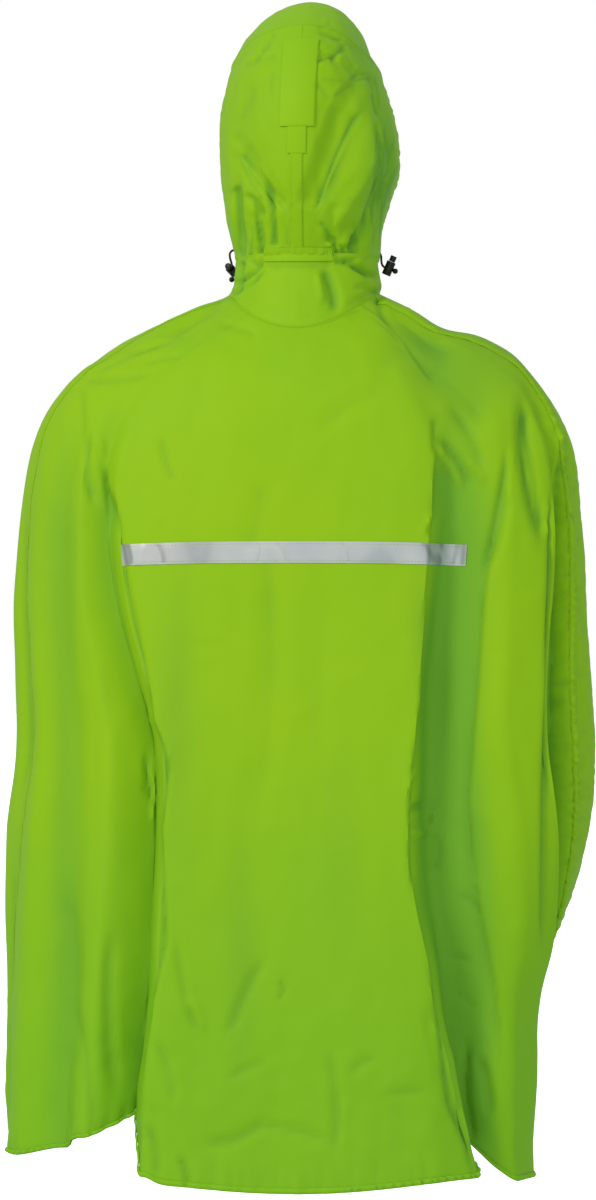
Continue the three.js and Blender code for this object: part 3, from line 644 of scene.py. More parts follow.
# Loose waves of the cloth: amount in millimetres, their size across, deep and up, and a seed
clothNoise = {
    "billows": (2.6, (70, 70, 330), 1),
    "softCreases": (1.2, (26, 26, 60), 2),
    "puckers": (1.0, (24, 24, 7), 3),
    "smallPuckers": (0.6, (12, 12, 4), 4),
    "hemGathers": (3.0, (9, 9, 90), 5),
    "hemGatherSpread": (1.0, (90, 90, 90), 6),
    "hoodBillows": (2.2, (42, 42, 90), 7),
    "hoodCreases": (1.0, (13, 13, 22), 8),
    "faceEdge": (1.5, (16, 16, 8), 9),
    "smallFaceEdge": (0.75, (9, 9, 5), 10),
    "hoodTucks": (1.8, (7, 9, 60), 11),
    "collarTucks": (1.0, (12, 16, 60), 12),
    "collarWaves": (0.7, (20, 20, 20), 13),
    "crumples": (2.2, (48, 48, 64), 14),
    "bandPuckers": (1.0, (30, 30, 6), 15),
    "gatherWander": (12.0, (60, 60, 60), 16),
    "elasticSpread": (1.0, (120, 120, 400), 17),
    "smallCrumples": (0.8, (18, 18, 22), 18),
}


def waves(point, kind):
    amount, size, seed = clothNoise[kind]
    flat = (point / np.array(size, float) + seed * 17.3).reshape(-1, 3)
    return amount * np.array([noise.noise(Vector(p)) for p in flat]).reshape(point.shape[:-1])


lineOf = foldNames.index
seams = {"left": lineOf("leftSeam"), "right": lineOf("rightSeam")}


bodySet = {
    "linePitch": 26.0,                 # about the distance between two fold lines
    "leftPuckers": (0.8, 12),          # beside the side seams: amount and reach
    "rightPuckers": (3.0, 22),
    "valleyFill": 9.0,
    "shoulderDip": (-158, 28, 8.0),    # beside the neck: place across, reach, depth
    "shoulderRise": (-236, 28, 4.0),
    "crumpledBelow": -700,
    "necklineRoll": 0.9,
    "cornerLift": 8.0,
}


def besideLine(around, name):
    # distance from a fold line, counted in fold lines
    return np.mod(around - lineOf(name) + lineCount / 2, lineCount) - lineCount / 2


def roundedForm(around, level):
    # the left corner of the back hem is rounded off
    apart = besideLine(around, "leftBackEdge")
    low = softStep((level - hemLevel + 0.9) / 0.9)
    point = bodyForm(around, level)
    point[..., 2] += bodySet["cornerLift"] * hump(apart, np.where(apart < 0, 0.1, 0.22)) * low
    return point


def bodyDetail(point, normal, around, level):
    across, up = seenFromBehind(point)
    toBack = softStep((normal[..., 1] + 0.1) / 0.35)
    toFront = softStep((-normal[..., 1] - 0.05) / 0.35)
    field = creaseGain["back"] * creaseField(across, up, backCreases) * toBack
    field += ledgeField(across, up, backLedges) * toBack
    field += creaseGain["front"] * creaseField(point[..., 0], point[..., 2], frontCreases) * toFront
    for sign in (1, -1):
        rows = [row[1:] for row in sideCreases if row[0] == sign]
        toSide = softStep((sign * normal[..., 0] - 0.45) / 0.3)
        field += creaseGain["side"] * creaseField(point[..., 1], point[..., 2], rows) * toSide
    free = softStep(level / 1.5)                        # quiet near the neckline seam
    field += free * (waves(point, "billows") + waves(point, "softCreases"))
    # the lower third is crumpled
    crumpled = softStep((bodySet["crumpledBelow"] - point[..., 2]) / 160)
    field += crumpled * (waves(point, "crumples") + waves(point, "smallCrumples"))
    # the left valley is filled out a little
    filled = hump(besideLine(around, "leftBackValley"), 0.7) * softStep((level - 3) / 2)
    field += bodySet["valleyFill"] * filled
    # the right shoulder dips beside the neck
    top = softStep((normal[..., 2] - 0.15) / 0.5)
    for name, sign in (("shoulderDip", -1), ("shoulderRise", 1)):
        place, reach, amount = bodySet[name]
        field += sign * amount * free * top * hump(point[..., 0] - place, reach)
    # puckers beside the sewn side seams, closest together on the right
    ripple = waves(point, "puckers") + waves(point, "smallPuckers")
    for side in ("left", "right"):
        amount, reach = bodySet[side + "Puckers"]
        apart = besideLine(around, side + "Seam") * bodySet["linePitch"]
        field += amount * hump(apart, reach) * softStep((level - 2.5) / 2) * ripple
    # gathers of the elastic hem
    low = softStep((level - hemLevel + 0.55) / 0.5)
    field += low * waves(point, "hemGathers") * (0.6 + waves(point, "hemGatherSpread"))
    field += bodySet["necklineRoll"] * hump(level - 0.05, 0.06)     # a rolled seam
    return field * softStep((level + 0.01) / 0.1)


# how far the hood's right side stands out, at heights from the neck up
hoodSwell = [(40, 57, 103, 148, 190, 240, 285, 320), (5, 6, 6, 14, 9, 0, -8, -4)]
underBand = lambda turn: softStep((formSet["neckBandTurn"] + 3 - np.abs(turn)) / 4)


def sideSwell(turn, z):
    # turn in degrees round the neck: the left is drawn in low down
    sine = np.sin(np.radians(turn))
    toRight = softStep((-sine - 0.42) / 0.45)
    toLeft = softStep((sine - 0.5) / 0.4)
    return toRight * np.interp(z, *hoodSwell) - 3.0 * toLeft * softStep((95 - z) / 40)


def hoodDetail(point, normal, across, row):
    seenAcross, up = seenFromBehind(point)
    toBack = softStep((normal[..., 1] + 0.35) / 0.4)
    field = creaseGain["hood"] * creaseField(seenAcross, up, hoodCreases) * toBack
    field += ledgeField(seenAcross, up, hoodLedges, 2.5) * toBack
    flat = 1 - softStep((27 - np.abs(point[..., 0])) / 8) * softStep((row - 0.2) / 0.3) * 0.75
    field *= flat                                     # the cloth under the strap stays flat
    field += flat * (waves(point, "hoodBillows") + waves(point, "hoodCreases"))
    field *= 1 - underBand(across * hoodRings[0, 5]) * softStep((0.5 - row) / 0.12)
    # the drawcord channel crinkles along the face edge
    edge = softStep((np.abs(across) - 0.62) / 0.3)
    field += edge * (waves(point, "faceEdge") + waves(point, "smallFaceEdge"))
    # small tucks where the hood is gathered on to the collar
    field += flat * hump(row, 0.5) * waves(point, "hoodTucks")
    # the crown seam stands a little proud of the peak piece
    field += 1.1 * hump(columnAt(hoodRings, 1, row) - formSet["crownSeam"], 3.5)
    # the top stands a little higher than the plain ring
    field += 3.0 * hump(row - 9.3, 1.6) * np.maximum(normal[..., 2], 0)
    turn = columnAt(hoodRings, 5, row) * across
    return field * softStep((row + 0.02) / 0.16) + sideSwell(turn, point[..., 2])


def collarDetail(point, normal, turn, up):
    across, height = seenFromBehind(point)
    toBack = softStep((normal[..., 1] + 0.05) / 0.3)
    field = creaseGain["back"] * creaseField(across, height, backCreases + hoodCreases) * toBack
    inner = softStep(up / 0.15) * softStep((1 - up) / 0.15)
    field += inner * (waves(point, "collarTucks") + waves(point, "collarWaves"))
    field *= softStep(up / 0.12) * softStep((1 - up) / 0.12)
    field *= 1 - underBand(turn) * softStep((up - 0.78) / 0.1)
    # shadow line where the cloth folds in under the neck band
    field -= 2.0 * hump(up - 0.84, 0.05) * softStep((34 - np.abs(turn)) / 8)
    return field + softStep(up / 0.3) * sideSwell(turn, point[..., 2])


def folded(form, detail, side):
    def surface(u, v, stand=0.0, withHeight=False):
        u, v = np.broadcast_arrays(np.asarray(u, float), np.asarray(v, float))
        point = form(u, v)
        normal = outward(form, u, v, side)
        height = detail(point, normal, u, v) + stand
        moved = point + normal * height[..., None]
        return (moved, height) if withHeight else moved
    return surface


# Areas where softer light is painted into the cloth's colour as shade: place across and up as seen from
# behind, reach, amount
shadedAreas = [
    (-190, -75, 80, 64, 0.55),    # right shoulder
    (-99, 150, 26, 84, 0.75),     # right edge of the hood
    (-70, 255, 26, 40, 0.2),
    (60, 216, 40, 60, 0.2),       # left of the hood's crown
    (274, -560, 14, 330, 0.35),   # stripe down the left flap
    (284, -290, 30, 130, 0.25),
    (71, -752, 18, 115, 0.36),    # soft bands down the back
    (146, -480, 24, 150, 0.36),
    (-136, -376, 13, 70, 0.35),
    (-40, -640, 24, 130, 0.2),
]

# Fine sharp creases of the hood, too narrow to raise, painted as lines of shade: the same columns as the
# creases
hoodShadeLines = [
    # right edge
    (-84, 204, -76, 78, 2, 3, 0.7),
    (-94, 198, -84, 102, 1, 3, 0.7),
    (-103, 178, -95, 154, 0, 3, 0.7),
    (-108, 154, -94, 119, 1, 3, 0.6),
    (-90, 154, -87, 61, 1, 3, 0.7),
    (-97, 131, -90, 99, 1, 3, 0.6),
    (-81, 254, -87, 216, 1, 3, 0.5),
    (-100, 142, -97, 108, 1, 2.5, 0.5),
    (-88, 188, -85, 150, 1, 2.5, 0.5),
    # beside the tab and above it
    (-16, 270, -35, 276, 1, 3, 0.6),
    (-35, 276, -47, 289, 1, 3, 0.5),
    (-53, 251, -76, 257, 2, 3, 0.5),
    (-32, 298, -47, 295, 0, 3, 0.5),
    (-35, 231, -59, 245, 1, 3, 0.4),
    (-20, 250, -52, 246, 2, 3, 0.3),
    # left side
    (73, 166, 44, 113, -3, 3, 0.5),
    (41, 137, 18, 99, -2, 3, 0.5),
    (57, 87, 60, 55, 1, 3, 0.5),
    (39, 125, 34, 61, 1, 3, 0.5),
    (19, 87, 16, 52, 0, 3, 0.4),
    (75, 125, 73, 61, 1, 3, 0.5),
    (48, 96, 50, 60, 1, 3, 0.3),
    # right of the strap's foot
    (-30, 66, -34, 46, 1, 2.5, 0.6),
    (-42, 62, -50, 46, 1, 2.5, 0.6),
    (-57, 88, -62, 50, 1, 3, 0.5),
    (-24, 84, -31, 70, 1, 2.5, 0.4),
]


shadeSet = {
    "reach": 22,      # how far round a place is looked at, and how fast that fades
    "fade": 11,
    "least": 0.15,    # shallower dips stay light
}


def shadeOf(grid, height, gain, lines=()):
    # how dark each place is, from the areas above and from how far it lies below what is round it
    across, up = seenFromBehind(grid)
    shade = np.zeros_like(across)
    for x, z, wide, tall, amount in shadedAreas:
        shade += amount * hump(across - x, wide) * hump(up - z, tall)
    shade *= softStep((grid[..., 1] + 40) / 60)
    shade -= creaseField(across, up, lines) * softStep((grid[..., 1] + 60) / 30)
    around = height
    for axis in (0, 1):
        spacing = np.linalg.norm(np.diff(grid, axis=axis), axis=-1).mean()
        reach = max(1, int(round(shadeSet["reach"] / spacing)))
        steps = np.arange(-reach, reach + 1)
        weights = hump(steps * spacing, shadeSet["fade"])
        last = around.shape[axis] - 1
        rows = [np.clip(np.arange(last + 1) + step, 0, last) for step in steps]
        around = sum(w * np.take(around, row, axis=axis) for w, row in zip(weights, rows)) / weights.sum()
    return np.clip(shade + gain * np.maximum(around - height - shadeSet["least"], 0), 0, 1)


bodySurface = folded(roundedForm, bodyDetail, 1)
hoodSurface = folded(hoodForm, hoodDetail, -1)
collarTurn = lambda turn: np.mod(np.asarray(turn) + 180, 360) - 180
collarSurface = folded(collarForm, lambda p, n, u, v: collarDetail(p, n, collarTurn(u), v), -1)
say("surfaces")

# Makers of cloth meshes


def lengthsAlong(grid, axis):
    steps = np.linalg.norm(np.diff(grid, axis=axis), axis=-1).mean(axis=1 - axis)
    return np.concatenate([[0], np.cumsum(steps)])


def evenSamples(form, start, end, count, across):
    # values between start and end that lie equally far apart on the surface
    fine = np.linspace(start, end, 900)
    runs = [np.linalg.norm(np.diff(form(*across(fine, other)), axis=0), axis=1) for other in (0, 1, 2)]
    walked = np.concatenate([[0], np.cumsum(np.mean(runs, axis=0))])
    return np.interp(np.linspace(0, walked[-1], count + 1), walked, fine)


def makeObject(name, vertices, faces):
    mesh = bpy.data.meshes.new(name)
    mesh.from_pydata(vertices, [], faces)
    mesh.update()
    obj = bpy.data.objects.new(name, mesh)
    bpy.context.scene.collection.objects.link(obj)
    return obj


def clothPiece(name, grid, thickness, side=1, ring=False, **notes):
    # grid is rows by columns of points on the outer face; the wall grows inwards from it.
    # notes are values kept at each point for painted shade: sunk, its depth in a fold in millimetres, and
    # shade
    rows, columns = grid.shape[:2]
    spans = columns if ring else columns - 1
    r, c = np.meshgrid(np.arange(rows - 1), np.arange(spans), indexing="ij")
    nextC = (c + 1) % columns
    corners = [r * columns + c, r * columns + nextC, (r + 1) * columns + nextC, (r + 1) * columns + c]
    if side < 0:
        corners.reverse()
    faces = np.stack(corners, -1).reshape(-1, 4)
    obj = makeObject(name, (grid.reshape(-1, 3) * mm).tolist(), faces.tolist())
    closed = np.concatenate([grid, grid[:, :1]], axis=1) if ring else grid
    alongU, alongV = lengthsAlong(closed, 1) * mm, lengthsAlong(closed, 0) * mm
    uvLayer = obj.data.uv_layers.new(name="cut")
    u = np.stack([alongU[c], alongU[c + 1], alongU[c + 1], alongU[c]], -1)
    v = np.stack([alongV[r], alongV[r], alongV[r + 1], alongV[r + 1]], -1)
    if side < 0:
        u, v = u[..., ::-1], v[..., ::-1]
    uvLayer.data.foreach_set("uv", np.stack([u, v], -1).reshape(-1).astype(np.float32))
    for label, values in notes.items():
        note = obj.data.attributes.new(label, "FLOAT", "POINT")
        note.data.foreach_set("value", np.maximum(values, 0).reshape(-1).astype(np.float32))
    pick(obj)
    wall = obj.modifiers.new("wall", "SOLIDIFY")
    wall.thickness = thickness * mm
    wall.offset = -1
    bpy.ops.object.modifier_apply(modifier=wall.name)
    bpy.ops.object.shade_smooth_by_angle(angle=math.radians(50))
    return obj


def finished(obj, slot, *cadNodes):
    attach(obj, "root")
    if cadNodes:
        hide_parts(*cadNodes)
    return obj


pieces = {}
quickly = 1.0
grid = lambda u, v: np.meshgrid(u, v)


def counts(wanted):
    return max(4, int(wanted * quickly))


# Body: back and front panels from the shoulder and side seams

panelSet = {
    "back": {"columns": 226, "rows": 210},
    "front": {"columns": 190, "rows": 180},
    "seamGap": 0.006,                   # of a fold line
    "recessEase": 24,                   # keeps the two narrowest folds from turning too dark
    "valleyEase": 24,
}
panelAround = {}
levelsDown = lambda count: evenSamples(bodyForm, 0.004, hemLevel, count,
                                       lambda fine, k: ((0.0, 6.0, 15.0)[k], fine))


def sunkDepth(around, level, height):
    # how far the cloth lies behind its plain rings, which sets the painted shade of its folds
    nearRecess = hump(besideLine(around, "rightRecess"), 0.6)
    nearValley = hump(besideLine(around, "leftBackValley"), 0.6) * softStep((level - 5) / 4)
    eased = panelSet["recessEase"] * nearRecess + panelSet["valleyEase"] * nearValley
    return -height - foldStand(around, level) - eased


def panel(name, fromSeam, toSeam, size, *cadNodes):
    gap = panelSet["seamGap"]
    around = evenSamples(bodyForm, fromSeam + gap, toSeam - gap, counts(size["columns"]),
                         lambda fine, k: (fine, (4.0, 8.0, 12.0)[k]))
    panelAround[name] = around
    u, v = grid(around, levelsDown(counts(size["rows"])))
    points, height = bodySurface(u, v, withHeight=True)
    pieces[name] = clothPiece(name, points, formSet["clothThickness"],
                              sunk=sunkDepth(u, v, height), shade=shadeOf(points, height, 0.22))
    return finished(pieces[name], "coated_cloth", *cadNodes)


panel("backPanel", seams["right"], seams["left"] + lineCount, panelSet["back"], "back_panel")
panel("frontPanel", seams["left"], seams["right"], panelSet["front"], "front_panel")
say("panels")

# Trims that lie on the panels: each is its own grid on the same folded surface

trimSet = {
    "tapeStand": 1.2,
    "tapeThickness": 0.5,
    "bandStand": 0.4,
    "bandThickness": 0.35,
    "hemStand": 0.65,
    "hemThickness": 0.6,
    "hemPuff": 1.8,
    "gather": 9.0,            # from one gather of the elastic to the next
    "gatherShade": 0.45,
}


def clothNotes(surface, u, v, points, depth):
    height = surface(u, v, withHeight=True)[1]
    sunk = sunkDepth(u, v, height) if surface is bodySurface else -2 * height
    return {"sunk": sunk, "shade": shadeOf(points, height, depth)}


def millimetresAround(line, level, distance):
    step = 0.01
    span = np.linalg.norm(bodyForm(line + step, level) - bodyForm(line, level), axis=-1)
    return line + distance * step / span


def sideBand(name, line, crownHeight, pucker, cadNode):
    levels = levelsDown(counts(460))[2:]
    offsets = np.linspace(-formSet["sideBand"], formSet["sideBand"], 7)
    u = np.stack([millimetresAround(float(line), levels, d) for d in offsets], 1)
    v = np.repeat(levels[:, None], len(offsets), 1)
    crown = crownHeight * (1 - (offsets / formSet["sideBand"]) ** 2)
    plain = bodyForm(u, v)
    ripple = pucker * waves(plain, "bandPuckers") * (0.4 + crown / crownHeight)
    points = bodySurface(u, v, trimSet["bandStand"] + crown[None, :] + np.maximum(ripple, 0))
    notes = clothNotes(bodySurface, u, v, points, 0.0)
    pieces[name] = clothPiece(name, points, trimSet["bandThickness"], **notes)
    return finished(pieces[name], "coated_cloth", cadNode)


def hemBand(name, fromSeam, toSeam, cadNode):
    around = np.linspace(fromSeam + 0.3, toSeam - 0.3, counts(640))
    levels = np.linspace(hemLevel - formSet["hemBand"], hemLevel, 9)
    u, v = grid(around, levels)
    puff = trimSet["hemPuff"] * np.sin(np.pi * (levels - levels[0]) / formSet["hemBand"])[:, None] ** 0.8
    plain = bodyForm(u, v)
    walked = lengthsAlong(plain, 1)[None, :] + waves(plain, "gatherWander")
    elastic = softStep((waves(plain, "elasticSpread") + 0.25) / 0.3)
    run = unit(np.gradient(plain, axis=1))
    elastic = elastic * softStep((0.7 - np.abs(run[..., 2])) / 0.3)    # none where it climbs
    gathers = elastic * np.sin(2 * np.pi * walked / trimSet["gather"]) * (0.5 + 0.5 * puff)
    points = bodySurface(u, v, trimSet["hemStand"] + puff + gathers)
    notes = clothNotes(bodySurface, u, v, points, 0.0)
    notes["shade"] = notes["shade"] + np.maximum(-gathers, 0) * trimSet["gatherShade"]
    pieces[name] = clothPiece(name, points, trimSet["hemThickness"], **notes)
    return finished(pieces[name], "coated_cloth", cadNode)


sideBand("sideBandLeft", seams["left"], 0.15, 0.2, "side_band_left")
sideBand("sideBandRight", seams["right"], 1.6, 2.2, "side_band_right")
hemBand("hemBandBack", seams["right"], seams["left"] + lineCount, "hem_band_back")
hemBand("hemBandFront", seams["left"], seams["right"], "hem_band_front")

# Reflective tape across the back, with its own creases

tapeTop, tapeBottom = formSet["tape"]
tapeLevels = [solveLevel(bodyForm, 0.0, 0.0, 13.0, height) for height in (tapeTop, tapeBottom)]
tapeEnds = (lineOf("rightBackValley") - 0.25, lineCount + lineOf("leftBackEdge"))
tapeCreases = [
    (205, -278, 198, -300, 1, 7, 1.1),
    (184, -278, 190, -302, 1, 8, -1.0),
    (168, -276, 160, -300, 2, 7, 1.0),
    (51, -274, 53, -300, 2, 4, 0.8),
    (33, -274, 18, -300, 2, 4, 0.8),
    (-44, -276, -52, -300, 2, 5, 0.8),
    (-60, -274, -42, -292, -2, 5, -0.7),
    (-135, -274, -148, -298, 2, 6, 1.0),
    (-150, -276, -164, -296, -2, 6, -0.9),
    (-176, -274, -170, -304, 1, 7, 1.0),
]
# painted shade on the tape, most at its two ends
tapeShadePatches = [
    (202, -276, 200, -302, 0, 11, 3.4),
    (184, -276, 182, -302, 1, 4, 2.4),
    (152, -276, 156, -302, 1, 11, 1.4),
    (-141, -276, -143, -302, 1, 4, 2.4),
    (-156, -276, -154, -302, 0, 10, 4.2),
    (-184, -276, -182, -302, 0, 9, 4.2),
]
around = panelAround["backPanel"]
around = around[(around > tapeEnds[0]) & (around < tapeEnds[1])]
around = np.concatenate([tapeEnds[:1], around, tapeEnds[1:]])
around = np.sort(np.concatenate([around, (around[1:] + around[:-1]) / 2]))
u, v = grid(around, np.linspace(*tapeLevels, 9))
across, up = seenFromBehind(bodySurface(u, v))
edges = 0.25 * np.abs(np.linspace(-1, 1, 9))[:, None] ** 4
tapeGrid = bodySurface(u, v, trimSet["tapeStand"] + 0.45 * creaseField(across, up, tapeCreases) - edges)
# painted shade along the tape's creases and in its darker patches
tapeShading = -3.0 * creaseField(across, up, tapeCreases) - creaseField(across, up, tapeShadePatches)
pieces["reflectiveTape"] = clothPiece("reflectiveTape", tapeGrid, trimSet["tapeThickness"],
                                      sunk=tapeShading)
finished(pieces["reflectiveTape"], "reflective_tape", "reflective_tape")
say("trims of the body")

# Collar and hood

hoodSet = {
    "half": {"columns": 110, "rows": 150},
    "peak": {"columns": 170, "rows": 52},
    "collar": {"columns": 260, "rows": 26},
}
rowOfHeight = lambda height: solveLevel(hoodForm, 0.0, 0.0, 9.0, height)
crownRow = rowOfHeight(formSet["crownSeam"])
bandRow = rowOfHeight(formSet["neckBandTop"])

turns = np.linspace(0, 360, counts(hoodSet["collar"]["columns"]) + 1)[:-1]
u, v = grid(turns, np.linspace(0.004, 0.996, counts(hoodSet["collar"]["rows"])))
points, height = collarSurface(u, v, withHeight=True)
tucked = collarSurface(turns[None, :], np.full((1, 1), 0.004), -1.0) - (0, 0, 2.5)
raised = collarSurface(turns[None, :], np.full((1, 1), 0.996), -1.0) + (0, 0, 3.0)
points = np.concatenate([tucked, points, raised])
height = np.concatenate([height[:1], height, height[-1:]])
pieces["collarCloth"] = clothPiece("collarCloth", points, 0.8, side=-1, ring=True,
                                   sunk=-2 * height, shade=shadeOf(points, height, 0.25))
finished(pieces["collarCloth"], "coated_cloth", "collar")


def hoodPiece(name, fromAcross, toAcross, fromRow, toRow, size, cadNode):
    acrossValues = evenSamples(hoodForm, fromAcross, toAcross, counts(size["columns"]),
                               lambda fine, k: (fine, mix(fromRow, toRow, (0.2, 0.5, 0.8)[k])))
    rowValues = evenSamples(hoodForm, fromRow, toRow, counts(size["rows"]),
                            lambda fine, k: (mix(fromAcross, toAcross, (0.3, 0.5, 0.7)[k]), fine))
    u, v = grid(acrossValues, rowValues)
    points, height = hoodSurface(u, v, withHeight=True)
    pieces[name] = clothPiece(name, points, formSet["clothThickness"], side=-1,
                              sunk=-2 * height, shade=shadeOf(points, height, 0.25, hoodShadeLines))
    return finished(pieces[name], "coated_cloth", cadNode)


hoodPiece("hoodLeft", 0.0012, 1.0, 0.004, crownRow - 0.004, hoodSet["half"], "hood_left")
hoodPiece("hoodRight", -1.0, -0.0012, 0.004, crownRow - 0.004, hoodSet["half"], "hood_right")
hoodPiece("hoodPeak", -1.0, 1.0, crownRow + 0.004, browRow, hoodSet["peak"], "hood_peak")
say("collar and hood")


def acrossOfX(x, row):
    half, sweep = columnAt(hoodRings, 4, row), columnAt(hoodRings, 5, row)
    return np.sign(x) * np.arcsin((np.abs(x) / half) ** (1 / formSet["hoodRoundness"])) / np.radians(sweep)


def acrossOfInset(inset, row, side):
    span = np.linalg.norm(hoodForm(0.98 * side, row) - hoodForm(1.0 * side, row), axis=-1)
    return side * (1 - 0.02 * inset / span)


# Strips down the centre back of the hood: the stiff tab, its stub and the long strap

stripSet = {
    "hoodTab": {"place": "tab", "stand": 2.3, "thickness": 2.0, "round": 0.5, "node": "hood_tab"},
    "strapStub": {"place": "stub", "stand": 1.6, "thickness": 1.2, "round": 0.4, "node": "strap_stub"},
    "hoodStrap": {"place": "strap", "stand": 1.2, "thickness": 0.8, "round": 0.25, "node": "hood_strap"},
}


def hoodStrip(name, settings):
    top, bottom, halfWidth = formSet[settings["place"]]
    rows = np.linspace(rowOfHeight(bottom), rowOfHeight(top), counts(60))
    shares = np.sin(np.linspace(-np.pi / 2, np.pi / 2, 19))      # closest at the edges
    v = np.repeat(rows[:, None], len(shares), 1)
    u = acrossOfX(shares[None, :] * (halfWidth - 0.15), v)
    ends = np.minimum(np.arange(len(rows)), np.arange(len(rows))[::-1])[:, None] / 1.5
    sides = (1 - np.abs(shares))[None, :] * halfWidth / 1.2
    edge = np.clip(np.minimum(ends, sides), 0, 1)
    points = hoodSurface(u, v, settings["stand"] - settings["round"] * (1 - edge) ** 2)
    pieces[name] = clothPiece(name, points, settings["thickness"], side=-1)
    return finished(pieces[name], "coated_cloth", settings["node"])


for name, settings in stripSet.items():
    hoodStrip(name, settings)


# Neck band over the join of hood and collar, and the channel round the face

neckBandSet = {"stand": 1.4, "rounding": 0.5, "thickness": 0.9, "tucks": 0.25}
channelSet = {"stand": 1.0, "puff": 1.2, "roundness": 0.7, "thickness": 0.7, "browRows": 0.35}


def neckSurface(turn, rise, stand):
    # rise is 0 at the foot of the band and 1 at its top
    height = formSet["neckBandTop"] - hoodRings[0, 1]
    drop = formSet["neckBandDrop"]
    offset = rise * (height + drop) - drop
    collarHeight = hoodRings[0, 1] - bodyRings[0, 0]
    below = collarSurface(turn, 1 + np.minimum(offset, 0) / collarHeight, stand)
    above = hoodSurface(turn / hoodRings[0, 5], np.maximum(offset, 0) / height * bandRow, stand)
    return np.where((offset > 0)[..., None], above, below)


u, v = grid(np.linspace(-1, 1, counts(120)) * formSet["neckBandTurn"], np.linspace(0, 1, 12))
rounding = neckBandSet["rounding"] * (1 - (2 * v - 1) ** 4 * 0.6)
tucks = neckBandSet["tucks"] * hump(np.abs(u) - 27, 5) * np.sin(u * 2.4)
points = neckSurface(u, v, neckBandSet["stand"] + rounding + tucks)
pieces["neckBand"] = clothPiece("neckBand", points, neckBandSet["thickness"], side=-1)
finished(pieces["neckBand"], "coated_cloth", "neck_band")

browBandRow = browRow - channelSet["browRows"]


def channelStand(share):
    # share runs from 0 at one edge of the channel to 1 at the other
    return channelSet["stand"] + channelSet["puff"] * np.sin(np.pi * share) ** channelSet["roundness"]


def faceBand(name, side, cadNode):
    rows = np.linspace(0.01, browBandRow - 0.01, counts(300))
    insets = np.linspace(formSet["faceBand"], 0, 9)
    v = np.repeat(rows[:, None], len(insets), 1)
    u = np.stack([acrossOfInset(inset, rows, side) for inset in insets], 1)
    if side < 0:
        u = u[:, ::-1]
    points = hoodSurface(u, v, channelStand(insets / formSet["faceBand"])[None, :])
    notes = clothNotes(hoodSurface, u, v, points, 0.0)
    pieces[name] = clothPiece(name, points, channelSet["thickness"], side=-1, **notes)
    return finished(pieces[name], "coated_cloth", cadNode)


faceBand("faceBandLeft", 1, "face_band_left")
faceBand("faceBandRight", -1, "face_band_right")
u, v = grid(np.linspace(-1, 1, counts(220)), np.linspace(browBandRow, browRow, 9))
points = hoodSurface(u, v, channelStand(np.linspace(0, 1, 9))[:, None])
pieces["browBand"] = clothPiece("browBand", points, channelSet["thickness"], side=-1)
finished(pieces["browBand"], "coated_cloth", "brow_band")
say("trims of the hood")

# Cord locks, their plungers and the beads, modelled one by one

lockSet = {
    "barrelRadius": 5.2,
    "plungerRadius": 3.6,
    "plungerLength": 6.5,
    "beadRadius": 3.2,
    "hole": 3.8,
    "gap": 0.3,
    "left": {"foot": (82.4, -42.5, 33.9), "tip": (86.6, -26.4, 39), "bead": (85, -34, 26.2)},
    "right": {"foot": (-92.6, -30, 30), "tip": (-99.3, -30, 45.2), "bead": (-103.3, -30, 34.4)},
}


def standOn(obj, foot, tip):
    # puts a piece made along +Z from the origin at its foot, along its axis, and fixes it there
    axis = (Vector(tip) - Vector(foot)).normalized()
    obj.rotation_mode = "QUATERNION"
    obj.rotation_quaternion = axis.to_track_quat("Z", "Y")
    obj.location = Vector(foot) * mm
    pick(obj)
    bpy.ops.object.transform_apply(location=True, rotation=True, scale=True)


def selectFaces(obj, test):
    bpy.ops.object.mode_set(mode="EDIT")
    bpy.ops.mesh.select_mode(type="FACE")
    bpy.ops.mesh.select_all(action="DESELECT")
    bpy.ops.object.mode_set(mode="OBJECT")
    for face in obj.data.polygons:
        face.select = test(face)
    bpy.ops.object.mode_set(mode="EDIT")


def turnedBarrel(name, radius, length, sides=40):
    deselectAll()
    bpy.ops.mesh.primitive_cylinder_add(vertices=sides, radius=radius * mm, depth=length * mm,
                                        location=(0, 0, length / 2 * mm))
    obj = bpy.context.active_object
    obj.name = obj.data.name = name
    bpy.ops.object.transform_apply(location=True, rotation=True, scale=True)
    return obj


def softened(obj, width, segments=3):
    pick(obj)
    bevel = obj.modifiers.new("soft edges", "BEVEL")
    bevel.width = width * mm
    bevel.segments = segments
    bevel.limit_method = "ANGLE"
    bevel.angle_limit = math.radians(40)
    bpy.ops.object.modifier_apply(modifier=bevel.name)
    bpy.ops.object.shade_smooth_by_angle(angle=math.radians(35))


